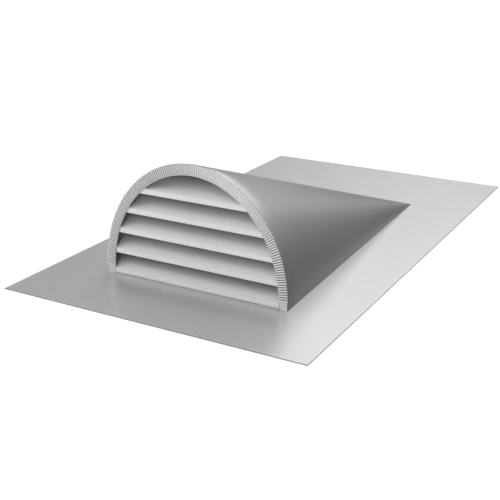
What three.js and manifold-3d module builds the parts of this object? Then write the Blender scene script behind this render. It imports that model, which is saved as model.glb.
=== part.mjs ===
// Solar attic fan in a half-round dormer housing.
// A flat roof flashing carries a sheet-metal hood that runs from a half-round louvred face
// down to a straight line at the back. Under the hood a direct-current fan stands over a
// round throat in the flashing and blows the attic air out through the louvres.
//
// Millimetres, +Z up, louvres facing -Y. The origin is the middle of the flashing's underside.

import * as THREE from 'three';
import { mergeVertices } from 'three/addons/utils/BufferGeometryUtils.js';
import { ConvexGeometry } from 'three/addons/geometries/ConvexGeometry.js';
import Module from 'manifold-3d';

const wasm = await Module();
wasm.setup();

// ---------------------------------------------------------------- driving dimensions

const SHEET = 1.2;                 // sheet-metal thickness
const GAP = 0.3;                   // air left between two pieces that touch
const CUT = 20;                    // how far cutting tools reach past what they cut

const PLATE_WIDTH = 762;           // flashing, left to right
const PLATE_DEPTH = 1372;          // flashing, front to back
const HEM_WIDTH = 12;              // edge of the flashing folded back under itself
const PLATE_TOP = 2 * SHEET;       // upper face of the flashing

const FACE_SETBACK = 196;          // front edge of the flashing to the louvred face
const FACE_Y = -PLATE_DEPTH / 2 + FACE_SETBACK;
const SPRING_HEIGHT = 15;          // straight legs below every half ellipse
const ARCH_SEGMENTS = 22;          // half the facets of an arch

const RING_HALF_WIDTH = 239;       // crimped ring, outer edge
const RING_HEIGHT = 295;
const RING_BAND_SIDE = 23;         // width of its face at the legs
const RING_BAND_TOP = 26.5;        // width of its face at the crown
const RING_THICKNESS = 3;
const RING_SKIRT = 2.4;            // its rim round the hood
const RING_SKIRT_DEPTH = 2.5;      // how far that rim stands behind its face
const RING_FOOT = 22;              // the crimps stop this high above the flashing

const HOOD_HALF_WIDTH = 236;
const HOOD_HEIGHT = 292;
const HOOD_BACK_HALF_WIDTH = 206;  // half the straight line where the hood meets the flashing
const HOOD_BACK_Y = FACE_Y + 866;
const HOOD_COLLAR = 8;             // straight part of the hood behind its front edge

const LOUVRE_COUNT = 5;
const LOUVRE_PITCH = 51.5;
const LOUVRE_FIRST = 2;            // lowest lip above the flashing
const LOUVRE_LIP = 14;             // upright front of a blade
const LOUVRE_RISE = 44;            // sloping part, at 45 degrees
const LIP_HEM = 5;
const FRAME_DEPTH = 56;            // inner wall that the blades' ends meet
const SILL_NOSE = 3;               // sill in front of the face
const SILL_DEPTH = 33;
const SILL_UPSTAND = 11;

const SCREEN_PITCH = 48;
const SCREEN_WIRE = 2;

const FAN_Y = FACE_Y + 245;        // axis of the throat and of the motor
const THROAT_RADIUS = 150;
const VENTURI_HEIGHT = 68;
const VENTURI_FLANGE = 14;
const FLANGE_RIVET_RADIUS = THROAT_RADIUS + 8;
const ROUND_SEGMENTS = 40;         // facets of the throat and of the motor's plate
const MOTOR_SEGMENTS = 30;

const BLADE_COUNT = 5;
const BLADE_RADIUS = 143;
const BLADE_CHORD = 84;
const BLADE_PITCH = 27;            // degrees from flat
const BLADE_THICKNESS = 2;
const HUB_RADIUS = 31;
const HUB_HEIGHT = 30;
const HUB_BOTTOM = PLATE_TOP + 12;

const STRUT_COUNT = 4;
const STRUT_WIDTH = 20;
const STRUT_THICKNESS = 3;
const STRUT_BOTTOM = PLATE_TOP + VENTURI_HEIGHT + GAP;
const MOTOR_PLATE_RADIUS = 62;
const MOTOR_PLATE_THICKNESS = 3;
const MOTOR_PLATE_BOTTOM = STRUT_BOTTOM + STRUT_THICKNESS + GAP;

const MOTOR_RADIUS = 44;
const MOTOR_WALL = 2;
const MOTOR_BOTTOM = MOTOR_PLATE_BOTTOM + MOTOR_PLATE_THICKNESS + GAP;
const MOTOR_HEIGHT = 58;           // can, without its end cap
const STATOR_INNER = 25;
const MAGNET_RADIUS = 23.6;
const SHAFT_RADIUS = 4;
const BEARING_RADIUS = 11;
const BEARING_HEIGHT = 7;

const BOX_WIDTH = 96;              // junction box for the panel lead
const BOX_DEPTH = 62;
const BOX_HEIGHT = 44;
const BOX_WALL = 2.5;
const BOX_SETBACK = 72;            // middle of the box behind the edge of the throat
const BOX_Y = FAN_Y + THROAT_RADIUS + BOX_SETBACK;
const LID_HEIGHT = 8;

const LEAD_RADIUS = 2.6;
const PANEL_LEAD_RADIUS = 3.1;     // lead of the separate panel, not part of this object
const GLAND_ROOM = 0.5;            // air round a lead in its gland
const LEAD_EXIT_Z = MOTOR_BOTTOM + 8.5;

// ---------------------------------------------------------------- materials

function metal(color, roughness, metalness = 0.9) {
  return new THREE.MeshStandardMaterial({ color, roughness, metalness });
}

function plastic(color, roughness) {
  return new THREE.MeshStandardMaterial({ color, roughness, metalness: 0 });
}

const galvanised = () => metal(0xc3c5c6, 0.42);
const galvanisedMatt = () => metal(0xcacbcb, 0.55);
const aluminium = () => metal(0xd2d4d6, 0.38);
const steel = () => metal(0x9a9c9f, 0.3);
const zincPlated = () => metal(0xb9bcc0, 0.35);
const blackPaint = () => metal(0x202224, 0.5, 0.3);
const lamination = () => metal(0x5f5a55, 0.6, 0.7);
const ferrite = () => metal(0x34363a, 0.7, 0.3);
const boxPlastic = () => plastic(0x3a3d40, 0.6);
const glandPlastic = () => plastic(0x17181a, 0.5);
const cableJacket = () => plastic(0x101112, 0.65);

// ---------------------------------------------------------------- solids

const part = new THREE.Group();
part.name = 'solar_attic_fan';

function add(name, geometry, material) {
  const mesh = new THREE.Mesh(geometry, material);
  mesh.name = name;
  part.add(mesh);
  return mesh;
}

function toSolid(geometry) {
  const bare = geometry.clone();
  bare.deleteAttribute('normal');
  bare.deleteAttribute('uv');
  const merged = mergeVertices(bare, 1e-4);
  return new wasm.Manifold(new wasm.Mesh({
    numProp: 3,
    vertProperties: new Float32Array(merged.attributes.position.array),
    triVerts: new Uint32Array(merged.index.array),
  }));
}

function toGeometry(solid) {
  const mesh = solid.getMesh();
  const geometry = new THREE.BufferGeometry();
  const positions = new Float32Array(mesh.vertProperties);
  geometry.setAttribute('position', new THREE.BufferAttribute(positions, 3));
  geometry.setIndex(new THREE.BufferAttribute(new Uint32Array(mesh.triVerts), 1));
  return geometry;
}

function joined(...geometries) {
  return toGeometry(geometries.map(toSolid).reduce((sum, next) => sum.add(next)));
}

function cutBy(geometry, ...tools) {
  return toGeometry(tools.map(toSolid).reduce((left, tool) => left.subtract(tool), toSolid(geometry)));
}

function commonTo(first, second) {
  return toGeometry(toSolid(first).intersect(toSolid(second)));
}

// A box given by its lowest and highest corners.
function block(x0, y0, z0, x1, y1, z1) {
  const box = new THREE.BoxGeometry(x1 - x0, y1 - y0, z1 - z0);
  return box.translate((x0 + x1) / 2, (y0 + y1) / 2, (z0 + z1) / 2);
}

// An upright cylinder from z0 to z1.
function rod(x, y, z0, z1, radius, segments = 12) {
  const cylinder = new THREE.CylinderGeometry(radius, radius, z1 - z0, segments);
  return cylinder.rotateX(Math.PI / 2).translate(x, y, (z0 + z1) / 2);
}

// A closed profile of [radius, height] points turned about an upright axis.
function turned(profile, x, y, segments = ROUND_SEGMENTS) {
  const points = profile.map(([radius, height]) => new THREE.Vector2(radius, height));
  points.push(points[0].clone());
  return new THREE.LatheGeometry(points, segments).rotateX(Math.PI / 2).translate(x, y, 0);
}

function outline(points) {
  return new THREE.Shape(points.map(([x, y]) => new THREE.Vector2(x, y)));
}

// A shape drawn in X and Z, from yFront backwards.
function extrudedBack(shape, yFront, depth) {
  const options = { depth, bevelEnabled: false, curveSegments: ARCH_SEGMENTS };
  const geometry = new THREE.ExtrudeGeometry(shape, options);
  return geometry.rotateX(Math.PI / 2).translate(0, yFront + depth, 0);
}

// A shape drawn in Y and Z, centred on X = 0.
function extrudedAcross(shape, width) {
  const geometry = new THREE.ExtrudeGeometry(shape, { depth: width, bevelEnabled: false });
  const turn = new THREE.Matrix4().makeBasis(
    new THREE.Vector3(0, 1, 0), new THREE.Vector3(0, 0, 1), new THREE.Vector3(1, 0, 0));
  return geometry.applyMatrix4(turn).translate(-width / 2, 0, 0);
}

// ---------------------------------------------------------------- arches

// Half ellipse on two straight legs, closed along the bottom.
function archShape(halfWidth, height, foot = 0) {
  const shape = new THREE.Shape();
  const spring = PLATE_TOP + SPRING_HEIGHT;
  shape.moveTo(-halfWidth, PLATE_TOP + foot);
  shape.lineTo(-halfWidth, spring);
  shape.absellipse(0, spring, halfWidth, height - SPRING_HEIGHT, Math.PI, 0, true);
  shape.lineTo(halfWidth, PLATE_TOP + foot);
  shape.closePath();
  return shape;
}

// The band between two such arches, open at the bottom.
function archBand(outerHalf, outerHeight, innerHalf, innerHeight, foot) {
  const shape = new THREE.Shape();
  const spring = PLATE_TOP + SPRING_HEIGHT;
  const base = PLATE_TOP + foot;
  shape.moveTo(-outerHalf, base);
  shape.lineTo(-outerHalf, spring);
  shape.absellipse(0, spring, outerHalf, outerHeight - SPRING_HEIGHT, Math.PI, 0, true);
  shape.lineTo(outerHalf, base);
  shape.lineTo(innerHalf, base);
  shape.lineTo(innerHalf, spring);
  shape.absellipse(0, spring, innerHalf, innerHeight - SPRING_HEIGHT, 0, Math.PI, false);
  shape.lineTo(-innerHalf, base);
  shape.closePath();
  return shape;
}

// ---------------------------------------------------------------- flashing and hood

function makeFlashing() {
  const halfWidth = PLATE_WIDTH / 2;
  const halfDepth = PLATE_DEPTH / 2;
  const sheet = block(-halfWidth, -halfDepth, SHEET, halfWidth, halfDepth, PLATE_TOP);
  const hem = block(-halfWidth, -halfDepth, 0, halfWidth, halfDepth, SHEET);
  const inside = block(-halfWidth + HEM_WIDTH, -halfDepth + HEM_WIDTH, -CUT,
    halfWidth - HEM_WIDTH, halfDepth - HEM_WIDTH, SHEET);
  const throat = rod(0, FAN_Y, -CUT, PLATE_TOP + CUT, THROAT_RADIUS - 1, ROUND_SEGMENTS);
  add('flashing', cutBy(joined(sheet, hem), inside, throat), galvanised());
}

// The hull of an arch, moved straight back over the collar, and the straight line behind it.
function hoodBody(halfWidth, height, frontY, collarY, backHalfWidth, backY) {
  const arch = archShape(halfWidth, height).getPoints(ARCH_SEGMENTS);
  const points = [];
  for (const y of [frontY, collarY]) {
    for (const point of arch) {
      points.push(new THREE.Vector3(point.x, y, point.y));
    }
  }
  points.push(new THREE.Vector3(-backHalfWidth, backY, PLATE_TOP));
  points.push(new THREE.Vector3(backHalfWidth, backY, PLATE_TOP));
  return new ConvexGeometry(points);
}

const HOOD_FRONT_Y = FACE_Y + RING_THICKNESS + GAP + SHEET + GAP;
const HOOD_COLLAR_Y = HOOD_FRONT_Y + HOOD_COLLAR;

function makeHood() {
  const slope = HOOD_HEIGHT / (HOOD_BACK_Y - HOOD_COLLAR_Y);
  const backShift = SHEET / Math.sin(Math.atan(slope));
  const outside = hoodBody(HOOD_HALF_WIDTH, HOOD_HEIGHT, HOOD_FRONT_Y, HOOD_COLLAR_Y,
    HOOD_BACK_HALF_WIDTH, HOOD_BACK_Y);
  const inside = hoodBody(HOOD_HALF_WIDTH - SHEET, HOOD_HEIGHT - SHEET, HOOD_FRONT_Y - CUT,
    HOOD_COLLAR_Y, HOOD_BACK_HALF_WIDTH - SHEET, HOOD_BACK_Y - backShift);
  const belowPlate = block(-PLATE_WIDTH, -PLATE_DEPTH, -CUT, PLATE_WIDTH, PLATE_DEPTH, PLATE_TOP + GAP);
  add('hood_shell', cutBy(outside, inside, belowPlate), galvanised());
}

// Angle strip inside the hood, along the line where its side meets the flashing.
// The side is 1 on the right and -1 on the left.
function makeHoodAngle(name, side) {
  const leg = 14;
  const upright = 9;
  const startY = FACE_Y + FRAME_DEPTH + 20;
  const endY = HOOD_COLLAR_Y + 0.62 * (HOOD_BACK_Y - HOOD_COLLAR_Y);
  const wall = SHEET + GAP + 0.2;
  const section = outline([
    [0, 0],
    [-leg * side, 0],
    [-leg * side, SHEET],
    [-SHEET * side, SHEET],
    [-SHEET * side, upright],
    [0, upright],
  ]);
  const taper = (HOOD_HALF_WIDTH - HOOD_BACK_HALF_WIDTH) / (HOOD_BACK_Y - HOOD_COLLAR_Y);
  const halfWidth = HOOD_HALF_WIDTH - wall - taper * (startY - HOOD_COLLAR_Y);
  const strip = extrudedBack(section, 0, endY - startY).rotateZ(side * Math.atan(taper));
  add(name, strip.translate(side * halfWidth, startY, PLATE_TOP + GAP), galvanisedMatt());
}

// ---------------------------------------------------------------- louvred face

const RING_INNER_HALF = RING_HALF_WIDTH - RING_BAND_SIDE;
const RING_INNER_HEIGHT = RING_HEIGHT - RING_BAND_TOP;
const FRAME_FRONT_Y = FACE_Y + RING_THICKNESS + GAP;

function makeCrimpedRing() {
  const band = extrudedBack(archBand(RING_HALF_WIDTH, RING_HEIGHT, RING_INNER_HALF, RING_INNER_HEIGHT, 0),
    FACE_Y, RING_THICKNESS);
  const skirt = extrudedBack(archBand(RING_HALF_WIDTH, RING_HEIGHT, RING_HALF_WIDTH - RING_SKIRT,
    RING_HEIGHT - RING_SKIRT, 0), FACE_Y, RING_THICKNESS + RING_SKIRT_DEPTH);
  const feet = block(-PLATE_WIDTH, FACE_Y - CUT, -CUT, PLATE_WIDTH, FACE_Y + CUT, PLATE_TOP + RING_FOOT);
  add('crimped_arch_ring', cutBy(joined(band, skirt), feet), galvanisedMatt());
}

function makeLouvreFrame() {
  const innerHalf = RING_INNER_HALF + 0.5;
  const innerHeight = RING_INNER_HEIGHT + 0.5;
  const face = extrudedBack(archBand(HOOD_HALF_WIDTH, HOOD_HEIGHT, innerHalf, innerHeight, GAP),
    FRAME_FRONT_Y, SHEET);
  const wall = extrudedBack(archBand(innerHalf + SHEET, innerHeight + SHEET, innerHalf, innerHeight, GAP),
    FRAME_FRONT_Y, FRAME_DEPTH);
  add('louvre_frame', joined(face, wall), galvanisedMatt());
}

// Hemmed upright lip, then a slope that climbs backwards at 45 degrees.
function bladeSection(y, z) {
  const slope = SHEET * Math.SQRT2;
  return outline([
    [y, z],
    [y + 2 * SHEET, z],
    [y + 2 * SHEET, z + LIP_HEM],
    [y + SHEET, z + LIP_HEM],
    [y + SHEET, z + LOUVRE_LIP + SHEET - slope],
    [y + SHEET + LOUVRE_RISE, z + LOUVRE_LIP + SHEET - slope + LOUVRE_RISE],
    [y + SHEET + LOUVRE_RISE - slope / 2, z + LOUVRE_LIP + SHEET - slope / 2 + LOUVRE_RISE],
    [y, z + LOUVRE_LIP],
  ]);
}

function makeLouvres() {
  const inside = extrudedBack(archShape(RING_INNER_HALF + 0.1, RING_INNER_HEIGHT + 0.1, GAP),
    FACE_Y - CUT, FRAME_DEPTH + 2 * CUT);
  for (let index = 0; index < LOUVRE_COUNT; index += 1) {
    const z = PLATE_TOP + LOUVRE_FIRST + index * LOUVRE_PITCH;
    const blade = extrudedAcross(bladeSection(FRAME_FRONT_Y + 0.2, z), 2 * RING_HALF_WIDTH);
    add(`louvre_blade_${index + 1}`, commonTo(blade, inside), galvanisedMatt());
  }
}

// Angle along the foot of the louvres: a strip on the flashing with a low upstand.
function makeSill() {
  const base = PLATE_TOP + GAP;
  const front = FACE_Y - SILL_NOSE;
  const upstand = front + 15;
  const section = outline([
    [front, base],
    [front + SILL_DEPTH, base],
    [front + SILL_DEPTH, base + SHEET],
    [upstand + SHEET, base + SHEET],
    [upstand + SHEET, base + SILL_UPSTAND],
    [upstand, base + SILL_UPSTAND],
    [upstand, base + SHEET],
    [front, base + SHEET],
  ]);
  add('sill_angle', extrudedAcross(section, 2 * RING_INNER_HALF - 0.6), galvanisedMatt());
}

// Welded wire screen behind the louvres, in a flat rim.
function makeScreen() {
  const halfWidth = RING_INNER_HALF + 5;
  const height = RING_INNER_HEIGHT + 4.5;
  const frontY = FRAME_FRONT_Y + FRAME_DEPTH + GAP;
  const rim = extrudedBack(archBand(halfWidth, height, halfWidth - 6, height - 6, GAP), frontY, SCREEN_WIRE);
  const bottom = PLATE_TOP + GAP;
  const bars = [block(-halfWidth + 1, frontY, bottom, halfWidth - 1, frontY + SCREEN_WIRE, bottom + 6)];
  for (let x = -4 * SCREEN_PITCH; x < halfWidth; x += SCREEN_PITCH) {
    bars.push(block(x - SCREEN_WIRE / 2, frontY, bottom, x + SCREEN_WIRE / 2, frontY + SCREEN_WIRE,
      PLATE_TOP + height));
  }
  for (let z = bottom + SCREEN_PITCH; z < PLATE_TOP + height; z += SCREEN_PITCH) {
    bars.push(block(-halfWidth, frontY, z - SCREEN_WIRE / 2, halfWidth, frontY + SCREEN_WIRE,
      z + SCREEN_WIRE / 2));
  }
  const inside = extrudedBack(archShape(halfWidth - 1, height - 1, GAP), frontY - CUT, 2 * CUT);
  add('bird_screen', joined(rim, commonTo(joined(...bars), inside)), steel());
}

// ---------------------------------------------------------------- throat, struts and motor plate

// Spun ring round the throat: a flange on the flashing, a straight wall and a rolled top.
function makeVenturi() {
  const inner = THROAT_RADIUS;
  const outer = inner + SHEET * 1.25;
  const base = PLATE_TOP + GAP;
  const top = PLATE_TOP + VENTURI_HEIGHT;
  const profile = [
    [inner, base],
    [inner + VENTURI_FLANGE, base],
    [inner + VENTURI_FLANGE, base + SHEET],
    [outer + 1.5, base + SHEET],
    [outer, base + 3],
    [outer, top - 8],
    [outer + 4, top - SHEET - 1.5],
    [outer + 10, top - SHEET],
    [outer + 10, top],
    [outer + 3, top - 0.4],
    [inner, top - 7],
  ];
  const ring = turned(profile, 0, FAN_Y);
  const holes = [];
  for (let index = 0; index < STRUT_COUNT; index += 1) {
    const [x, y] = aroundFan(FLANGE_RIVET_RADIUS, 45 + index * 90);
    holes.push(rod(x, y, -CUT, PLATE_TOP + CUT / 2, 2.3, 8));
  }
  add('venturi_ring', cutBy(ring, ...holes), galvanised());
}

function aroundFan(radius, degrees) {
  const angle = THREE.MathUtils.degToRad(degrees);
  return [radius * Math.cos(angle), FAN_Y + radius * Math.sin(angle)];
}

const STRUT_ANGLES = [0, 90, 180, 270];
const STRUT_INNER = 34;
const STRUT_OUTER = THROAT_RADIUS + 11;
const STRUT_BOLT_RADIUS = 54;

// Flat bar from the motor plate to the venturi's rolled top, with a hook over the rim.
function makeStruts() {
  STRUT_ANGLES.forEach((degrees, index) => {
    const z0 = STRUT_BOTTOM;
    const bar = block(STRUT_INNER, -STRUT_WIDTH / 2, z0, STRUT_OUTER + STRUT_THICKNESS + GAP,
      STRUT_WIDTH / 2, z0 + STRUT_THICKNESS);
    const hook = block(STRUT_OUTER + 1, -STRUT_WIDTH / 2, z0 - 12,
      STRUT_OUTER + 1 + STRUT_THICKNESS, STRUT_WIDTH / 2, z0 + STRUT_THICKNESS);
    const hole = rod(STRUT_BOLT_RADIUS, 0, z0 - CUT, z0 + CUT, 2.7, 8);
    const strut = cutBy(joined(bar, hook), hole);
    strut.rotateZ(THREE.MathUtils.degToRad(degrees)).translate(0, FAN_Y, 0);
    add(`motor_strut_${index + 1}`, strut, zincPlated());
  });
}

const MOTOR_BOLT_RADIUS = 34;

function makeMotorPlate() {
  const z0 = MOTOR_PLATE_BOTTOM;
  const z1 = z0 + MOTOR_PLATE_THICKNESS;
  const tools = [rod(0, FAN_Y, z0 - CUT, z1 + CUT, 16, 24)];
  for (const degrees of STRUT_ANGLES) {
    const [boltX, boltY] = aroundFan(STRUT_BOLT_RADIUS, degrees);
    tools.push(rod(boltX, boltY, z0 - CUT, z1 + CUT, 2.7, 8));
    const [screwX, screwY] = aroundFan(MOTOR_BOLT_RADIUS, degrees + 45);
    tools.push(rod(screwX, screwY, z0 - CUT, z1 + CUT, 2.3, 8));
  }
  const disc = rod(0, FAN_Y, z0, z1, MOTOR_PLATE_RADIUS, ROUND_SEGMENTS);
  add('motor_plate', cutBy(disc, ...tools), zincPlated());
}

// Bolt with a round head on top, through the motor plate and a strut, and its nut below.
function makeStrutBolts() {
  STRUT_ANGLES.forEach((degrees, index) => {
    const [x, y] = aroundFan(STRUT_BOLT_RADIUS, degrees);
    const headBottom = MOTOR_PLATE_BOTTOM + MOTOR_PLATE_THICKNESS + GAP;
    const shank = rod(x, y, STRUT_BOTTOM - 8, headBottom + 1, 2.3, 8);
    const head = rod(x, y, headBottom, headBottom + 3, 4.6, 12);
    const nut = rod(x, y, STRUT_BOTTOM - GAP - 4, STRUT_BOTTOM - GAP, 4.9, 6);
    add(`strut_bolt_${index + 1}`, joined(shank, head, nut), steel());
  });
}

function makeVenturiRivets() {
  for (let index = 0; index < STRUT_COUNT; index += 1) {
    const [x, y] = aroundFan(FLANGE_RIVET_RADIUS, 45 + index * 90);
    const base = PLATE_TOP + GAP;
    const stem = rod(x, y, base, base + SHEET + 1, 1.9, 8);
    const head = rod(x, y, base + SHEET + GAP, base + SHEET + GAP + 1.8, 3.6, 12);
    add(`flange_rivet_${index + 1}`, joined(stem, head), aluminium());
  }
}

// ---------------------------------------------------------------- motor

const MOTOR_TOP = MOTOR_BOTTOM + MOTOR_HEIGHT;
const SEAT_WALL = 2.5;
const BEARING_GAP = 0.25;

// Open-topped can with a bearing seat in its floor and tapped holes for its four screws.
function makeMotorCan() {
  const z0 = MOTOR_BOTTOM;
  const floor = z0 + 3;
  const seatTop = floor + BEARING_HEIGHT;
  const seatInner = BEARING_RADIUS + BEARING_GAP;
  const profile = [
    [SHAFT_RADIUS + 3, z0],
    [MOTOR_RADIUS - 1.5, z0],
    [MOTOR_RADIUS, z0 + 1.5],
    [MOTOR_RADIUS, MOTOR_TOP],
    [MOTOR_RADIUS - MOTOR_WALL, MOTOR_TOP],
    [MOTOR_RADIUS - MOTOR_WALL, floor],
    [seatInner + SEAT_WALL, floor],
    [seatInner + SEAT_WALL, seatTop],
    [seatInner, seatTop],
    [seatInner, floor],
    [SHAFT_RADIUS + 3, floor],
  ];
  const tools = [];
  for (const degrees of STRUT_ANGLES) {
    const [x, y] = aroundFan(MOTOR_BOLT_RADIUS, degrees + 45);
    tools.push(rod(x, y, z0 - CUT, z0 + 2.4, 2.3, 8));
  }
  const entry = rod(0, 0, -CUT, CUT, 3.4, 12).rotateX(Math.PI / 2);
  entry.translate(0, FAN_Y + MOTOR_RADIUS, LEAD_EXIT_Z);
  add('motor_can', cutBy(turned(profile, 0, FAN_Y, MOTOR_SEGMENTS), ...tools, entry), blackPaint());
}

// Screws from below, through the motor plate into the can's floor.
function makeMotorScrews() {
  STRUT_ANGLES.forEach((degrees, index) => {
    const [x, y] = aroundFan(MOTOR_BOLT_RADIUS, degrees + 45);
    const shank = rod(x, y, MOTOR_PLATE_BOTTOM - 1, MOTOR_BOTTOM + 2, 1.9, 8);
    const head = rod(x, y, MOTOR_PLATE_BOTTOM - GAP - 2.6, MOTOR_PLATE_BOTTOM - GAP, 4, 12);
    add(`motor_screw_${index + 1}`, joined(shank, head), steel());
  });
}

// Domed end cap that holds the upper bearing.
function makeMotorCap() {
  const z0 = MOTOR_TOP + GAP;
  const seatInner = BEARING_RADIUS + BEARING_GAP;
  const seatBottom = z0 - 4;
  const profile = [
    [0, z0 + 9],
    [0, z0 + 6],
    [seatInner, z0 + 6],
    [seatInner, seatBottom],
    [seatInner + SEAT_WALL, seatBottom],
    [seatInner + SEAT_WALL, z0 + 3],
    [MOTOR_RADIUS - MOTOR_WALL - 3, z0 + 1],
    [MOTOR_RADIUS - MOTOR_WALL - GAP, z0 - 3],
    [MOTOR_RADIUS - MOTOR_WALL - GAP, z0],
    [MOTOR_RADIUS, z0],
    [MOTOR_RADIUS, z0 + 2],
    [MOTOR_RADIUS - 5, z0 + 6],
    [BEARING_RADIUS + 8, z0 + 9],
  ];
  add('motor_end_cap', turned(profile, 0, FAN_Y, MOTOR_SEGMENTS), blackPaint());
}

function makeStator() {
  const z0 = MOTOR_BOTTOM + 14;
  const z1 = MOTOR_TOP - 8;
  const outer = MOTOR_RADIUS - MOTOR_WALL - GAP;
  const profile = [[STATOR_INNER, z0], [outer, z0], [outer, z1], [STATOR_INNER, z1]];
  const core = turned(profile, 0, FAN_Y, MOTOR_SEGMENTS);
  const slots = [];
  const slotCount = 6;
  for (let index = 0; index < slotCount; index += 1) {
    const slot = block(STATOR_INNER + 4, -4, z0 - CUT, outer - 4, 4, z1 + CUT);
    slot.rotateZ((index + 0.5) * 2 * Math.PI / slotCount).translate(0, FAN_Y, 0);
    slots.push(slot);
  }
  add('stator_core', cutBy(core, ...slots), lamination());
}

function makeBearing(name, z0) {
  const profile = [
    [SHAFT_RADIUS + 0.2, z0],
    [BEARING_RADIUS, z0],
    [BEARING_RADIUS, z0 + BEARING_HEIGHT],
    [SHAFT_RADIUS + 0.2, z0 + BEARING_HEIGHT],
  ];
  add(name, turned(profile, 0, FAN_Y, 24), steel());
}

// ---------------------------------------------------------------- rotor

const LOWER_BEARING_Z = MOTOR_BOTTOM + 3 + GAP;
const UPPER_BEARING_Z = MOTOR_TOP + GAP + 6 - GAP - BEARING_HEIGHT;

function makeShaft() {
  const top = MOTOR_TOP + 4;
  add('motor_shaft', rod(0, FAN_Y, HUB_BOTTOM - 6, top, SHAFT_RADIUS, 24), steel());
}

function makeMagnet() {
  const z0 = MOTOR_BOTTOM + 16;
  const z1 = MOTOR_TOP - 10;
  const bore = SHAFT_RADIUS + 0.3;
  const profile = [[bore, z0], [MAGNET_RADIUS, z0], [MAGNET_RADIUS, z1], [bore, z1]];
  add('rotor_magnet', turned(profile, 0, FAN_Y, 24), ferrite());
}

// Cup-shaped hub with a boss round the shaft.
function makeHub() {
  const z0 = HUB_BOTTOM;
  const z1 = z0 + HUB_HEIGHT;
  const bore = SHAFT_RADIUS + 0.3;
  const boss = 10;
  const profile = [
    [bore, z0],
    [boss + 4, z0],
    [HUB_RADIUS - 3, z0 + 4],
    [HUB_RADIUS, z0 + 8],
    [HUB_RADIUS, z1],
    [HUB_RADIUS - 2.5, z1],
    [HUB_RADIUS - 2.5, z0 + 9],
    [boss, z0 + 6],
    [boss, z1 - 4],
    [bore, z1 - 4],
  ];
  add('fan_hub', turned(profile, 0, FAN_Y, 30), aluminium());
}

// Cambered strip set at the blade's pitch, trimmed to the hub and to the tip circle.
function makeFanBlades() {
  const camber = new THREE.Shape();
  const bow = BLADE_CHORD * 0.75;
  const half = Math.asin(BLADE_CHORD / 2 / bow);
  const up = Math.PI / 2;
  camber.absarc(0, -bow, bow, up + half, up - half, true);
  camber.absarc(0, -bow, bow - BLADE_THICKNESS, up - half, up + half, false);
  camber.closePath();
  const length = { depth: BLADE_RADIUS, bevelEnabled: false, curveSegments: 5 };
  const strip = new THREE.ExtrudeGeometry(camber, length);
  const alongX = new THREE.Matrix4().makeBasis(
    new THREE.Vector3(0, 1, 0), new THREE.Vector3(0, 0, 1), new THREE.Vector3(1, 0, 0));
  strip.applyMatrix4(alongX).translate(0, 0, bow * (1 - Math.cos(half)) / 2);
  strip.rotateX(THREE.MathUtils.degToRad(BLADE_PITCH));

  const tall = 2 * BLADE_CHORD;
  const planform = new THREE.Shape();
  planform.moveTo(HUB_RADIUS - 6, -17);
  planform.lineTo(HUB_RADIUS + 20, -27);
  planform.lineTo(BLADE_RADIUS * 0.93, -BLADE_CHORD * 0.44);
  planform.quadraticCurveTo(BLADE_RADIUS * 1.02, -BLADE_CHORD * 0.42, BLADE_RADIUS, -BLADE_CHORD * 0.2);
  planform.absarc(0, 0, BLADE_RADIUS, -0.11, 0.2, false);
  planform.quadraticCurveTo(BLADE_RADIUS * 0.93, BLADE_CHORD * 0.44,
    BLADE_RADIUS * 0.84, BLADE_CHORD * 0.44);
  planform.lineTo(HUB_RADIUS + 18, 24);
  planform.lineTo(HUB_RADIUS - 6, 15);
  planform.closePath();
  const height = { depth: tall, bevelEnabled: false, curveSegments: 4 };
  const cutter = new THREE.ExtrudeGeometry(planform, height);
  cutter.translate(0, 0, -tall / 2);
  const hub = rod(0, 0, -tall, tall, HUB_RADIUS + GAP, 30);
  const blade = cutBy(commonTo(strip, cutter), hub);
  for (let index = 0; index < BLADE_COUNT; index += 1) {
    const copy = blade.clone();
    copy.rotateZ(index * 2 * Math.PI / BLADE_COUNT);
    copy.translate(0, FAN_Y, HUB_BOTTOM + 8 + (HUB_HEIGHT - 8) / 2);
    add(`fan_blade_${index + 1}`, copy, aluminium());
  }
}

function makeHubNut() {
  const top = HUB_BOTTOM - GAP;
  const washer = rod(0, FAN_Y, top - 1.2, top, 9, 24);
  const nut = rod(0, FAN_Y, top - 6, top - 1, 7, 6);
  const bore = rod(0, FAN_Y, top - CUT, top + CUT, SHAFT_RADIUS + 0.3, 24);
  add('hub_nut', cutBy(joined(washer, nut), bore), steel());
}

// ---------------------------------------------------------------- electrical

const BOX_BASE = PLATE_TOP + GAP;
const BOX_TOP = BOX_BASE + BOX_HEIGHT;
const BOX_MIDDLE_Y = BOX_Y + BOX_DEPTH / 2;
const LID_SCREW_X = BOX_WIDTH / 2 - 8;
const LID_SCREW_Y = BOX_DEPTH / 2 - 8;
const CORNERS = [-1, 1];           // two screws, in opposite corners of the lid
const LEAD_ENTRY_Z = BOX_BASE + 26;
const PANEL_ENTRY_Z = BOX_BASE + 22;
const SWITCH_X = 28;

function roundedOutline(width, depth, radius) {
  const x = width / 2 - radius;
  const y = depth / 2 - radius;
  const shape = new THREE.Shape();
  shape.absarc(x, y, radius, 0, Math.PI / 2, false);
  shape.absarc(-x, y, radius, Math.PI / 2, Math.PI, false);
  shape.absarc(-x, -y, radius, Math.PI, 1.5 * Math.PI, false);
  shape.absarc(x, -y, radius, 1.5 * Math.PI, 2 * Math.PI, false);
  shape.closePath();
  return shape;
}

function roundedBlock(width, depth, radius, y, z0, z1) {
  const options = { depth: z1 - z0, bevelEnabled: false, curveSegments: 3 };
  return new THREE.ExtrudeGeometry(roundedOutline(width, depth, radius), options).translate(0, y, z0);
}

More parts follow.
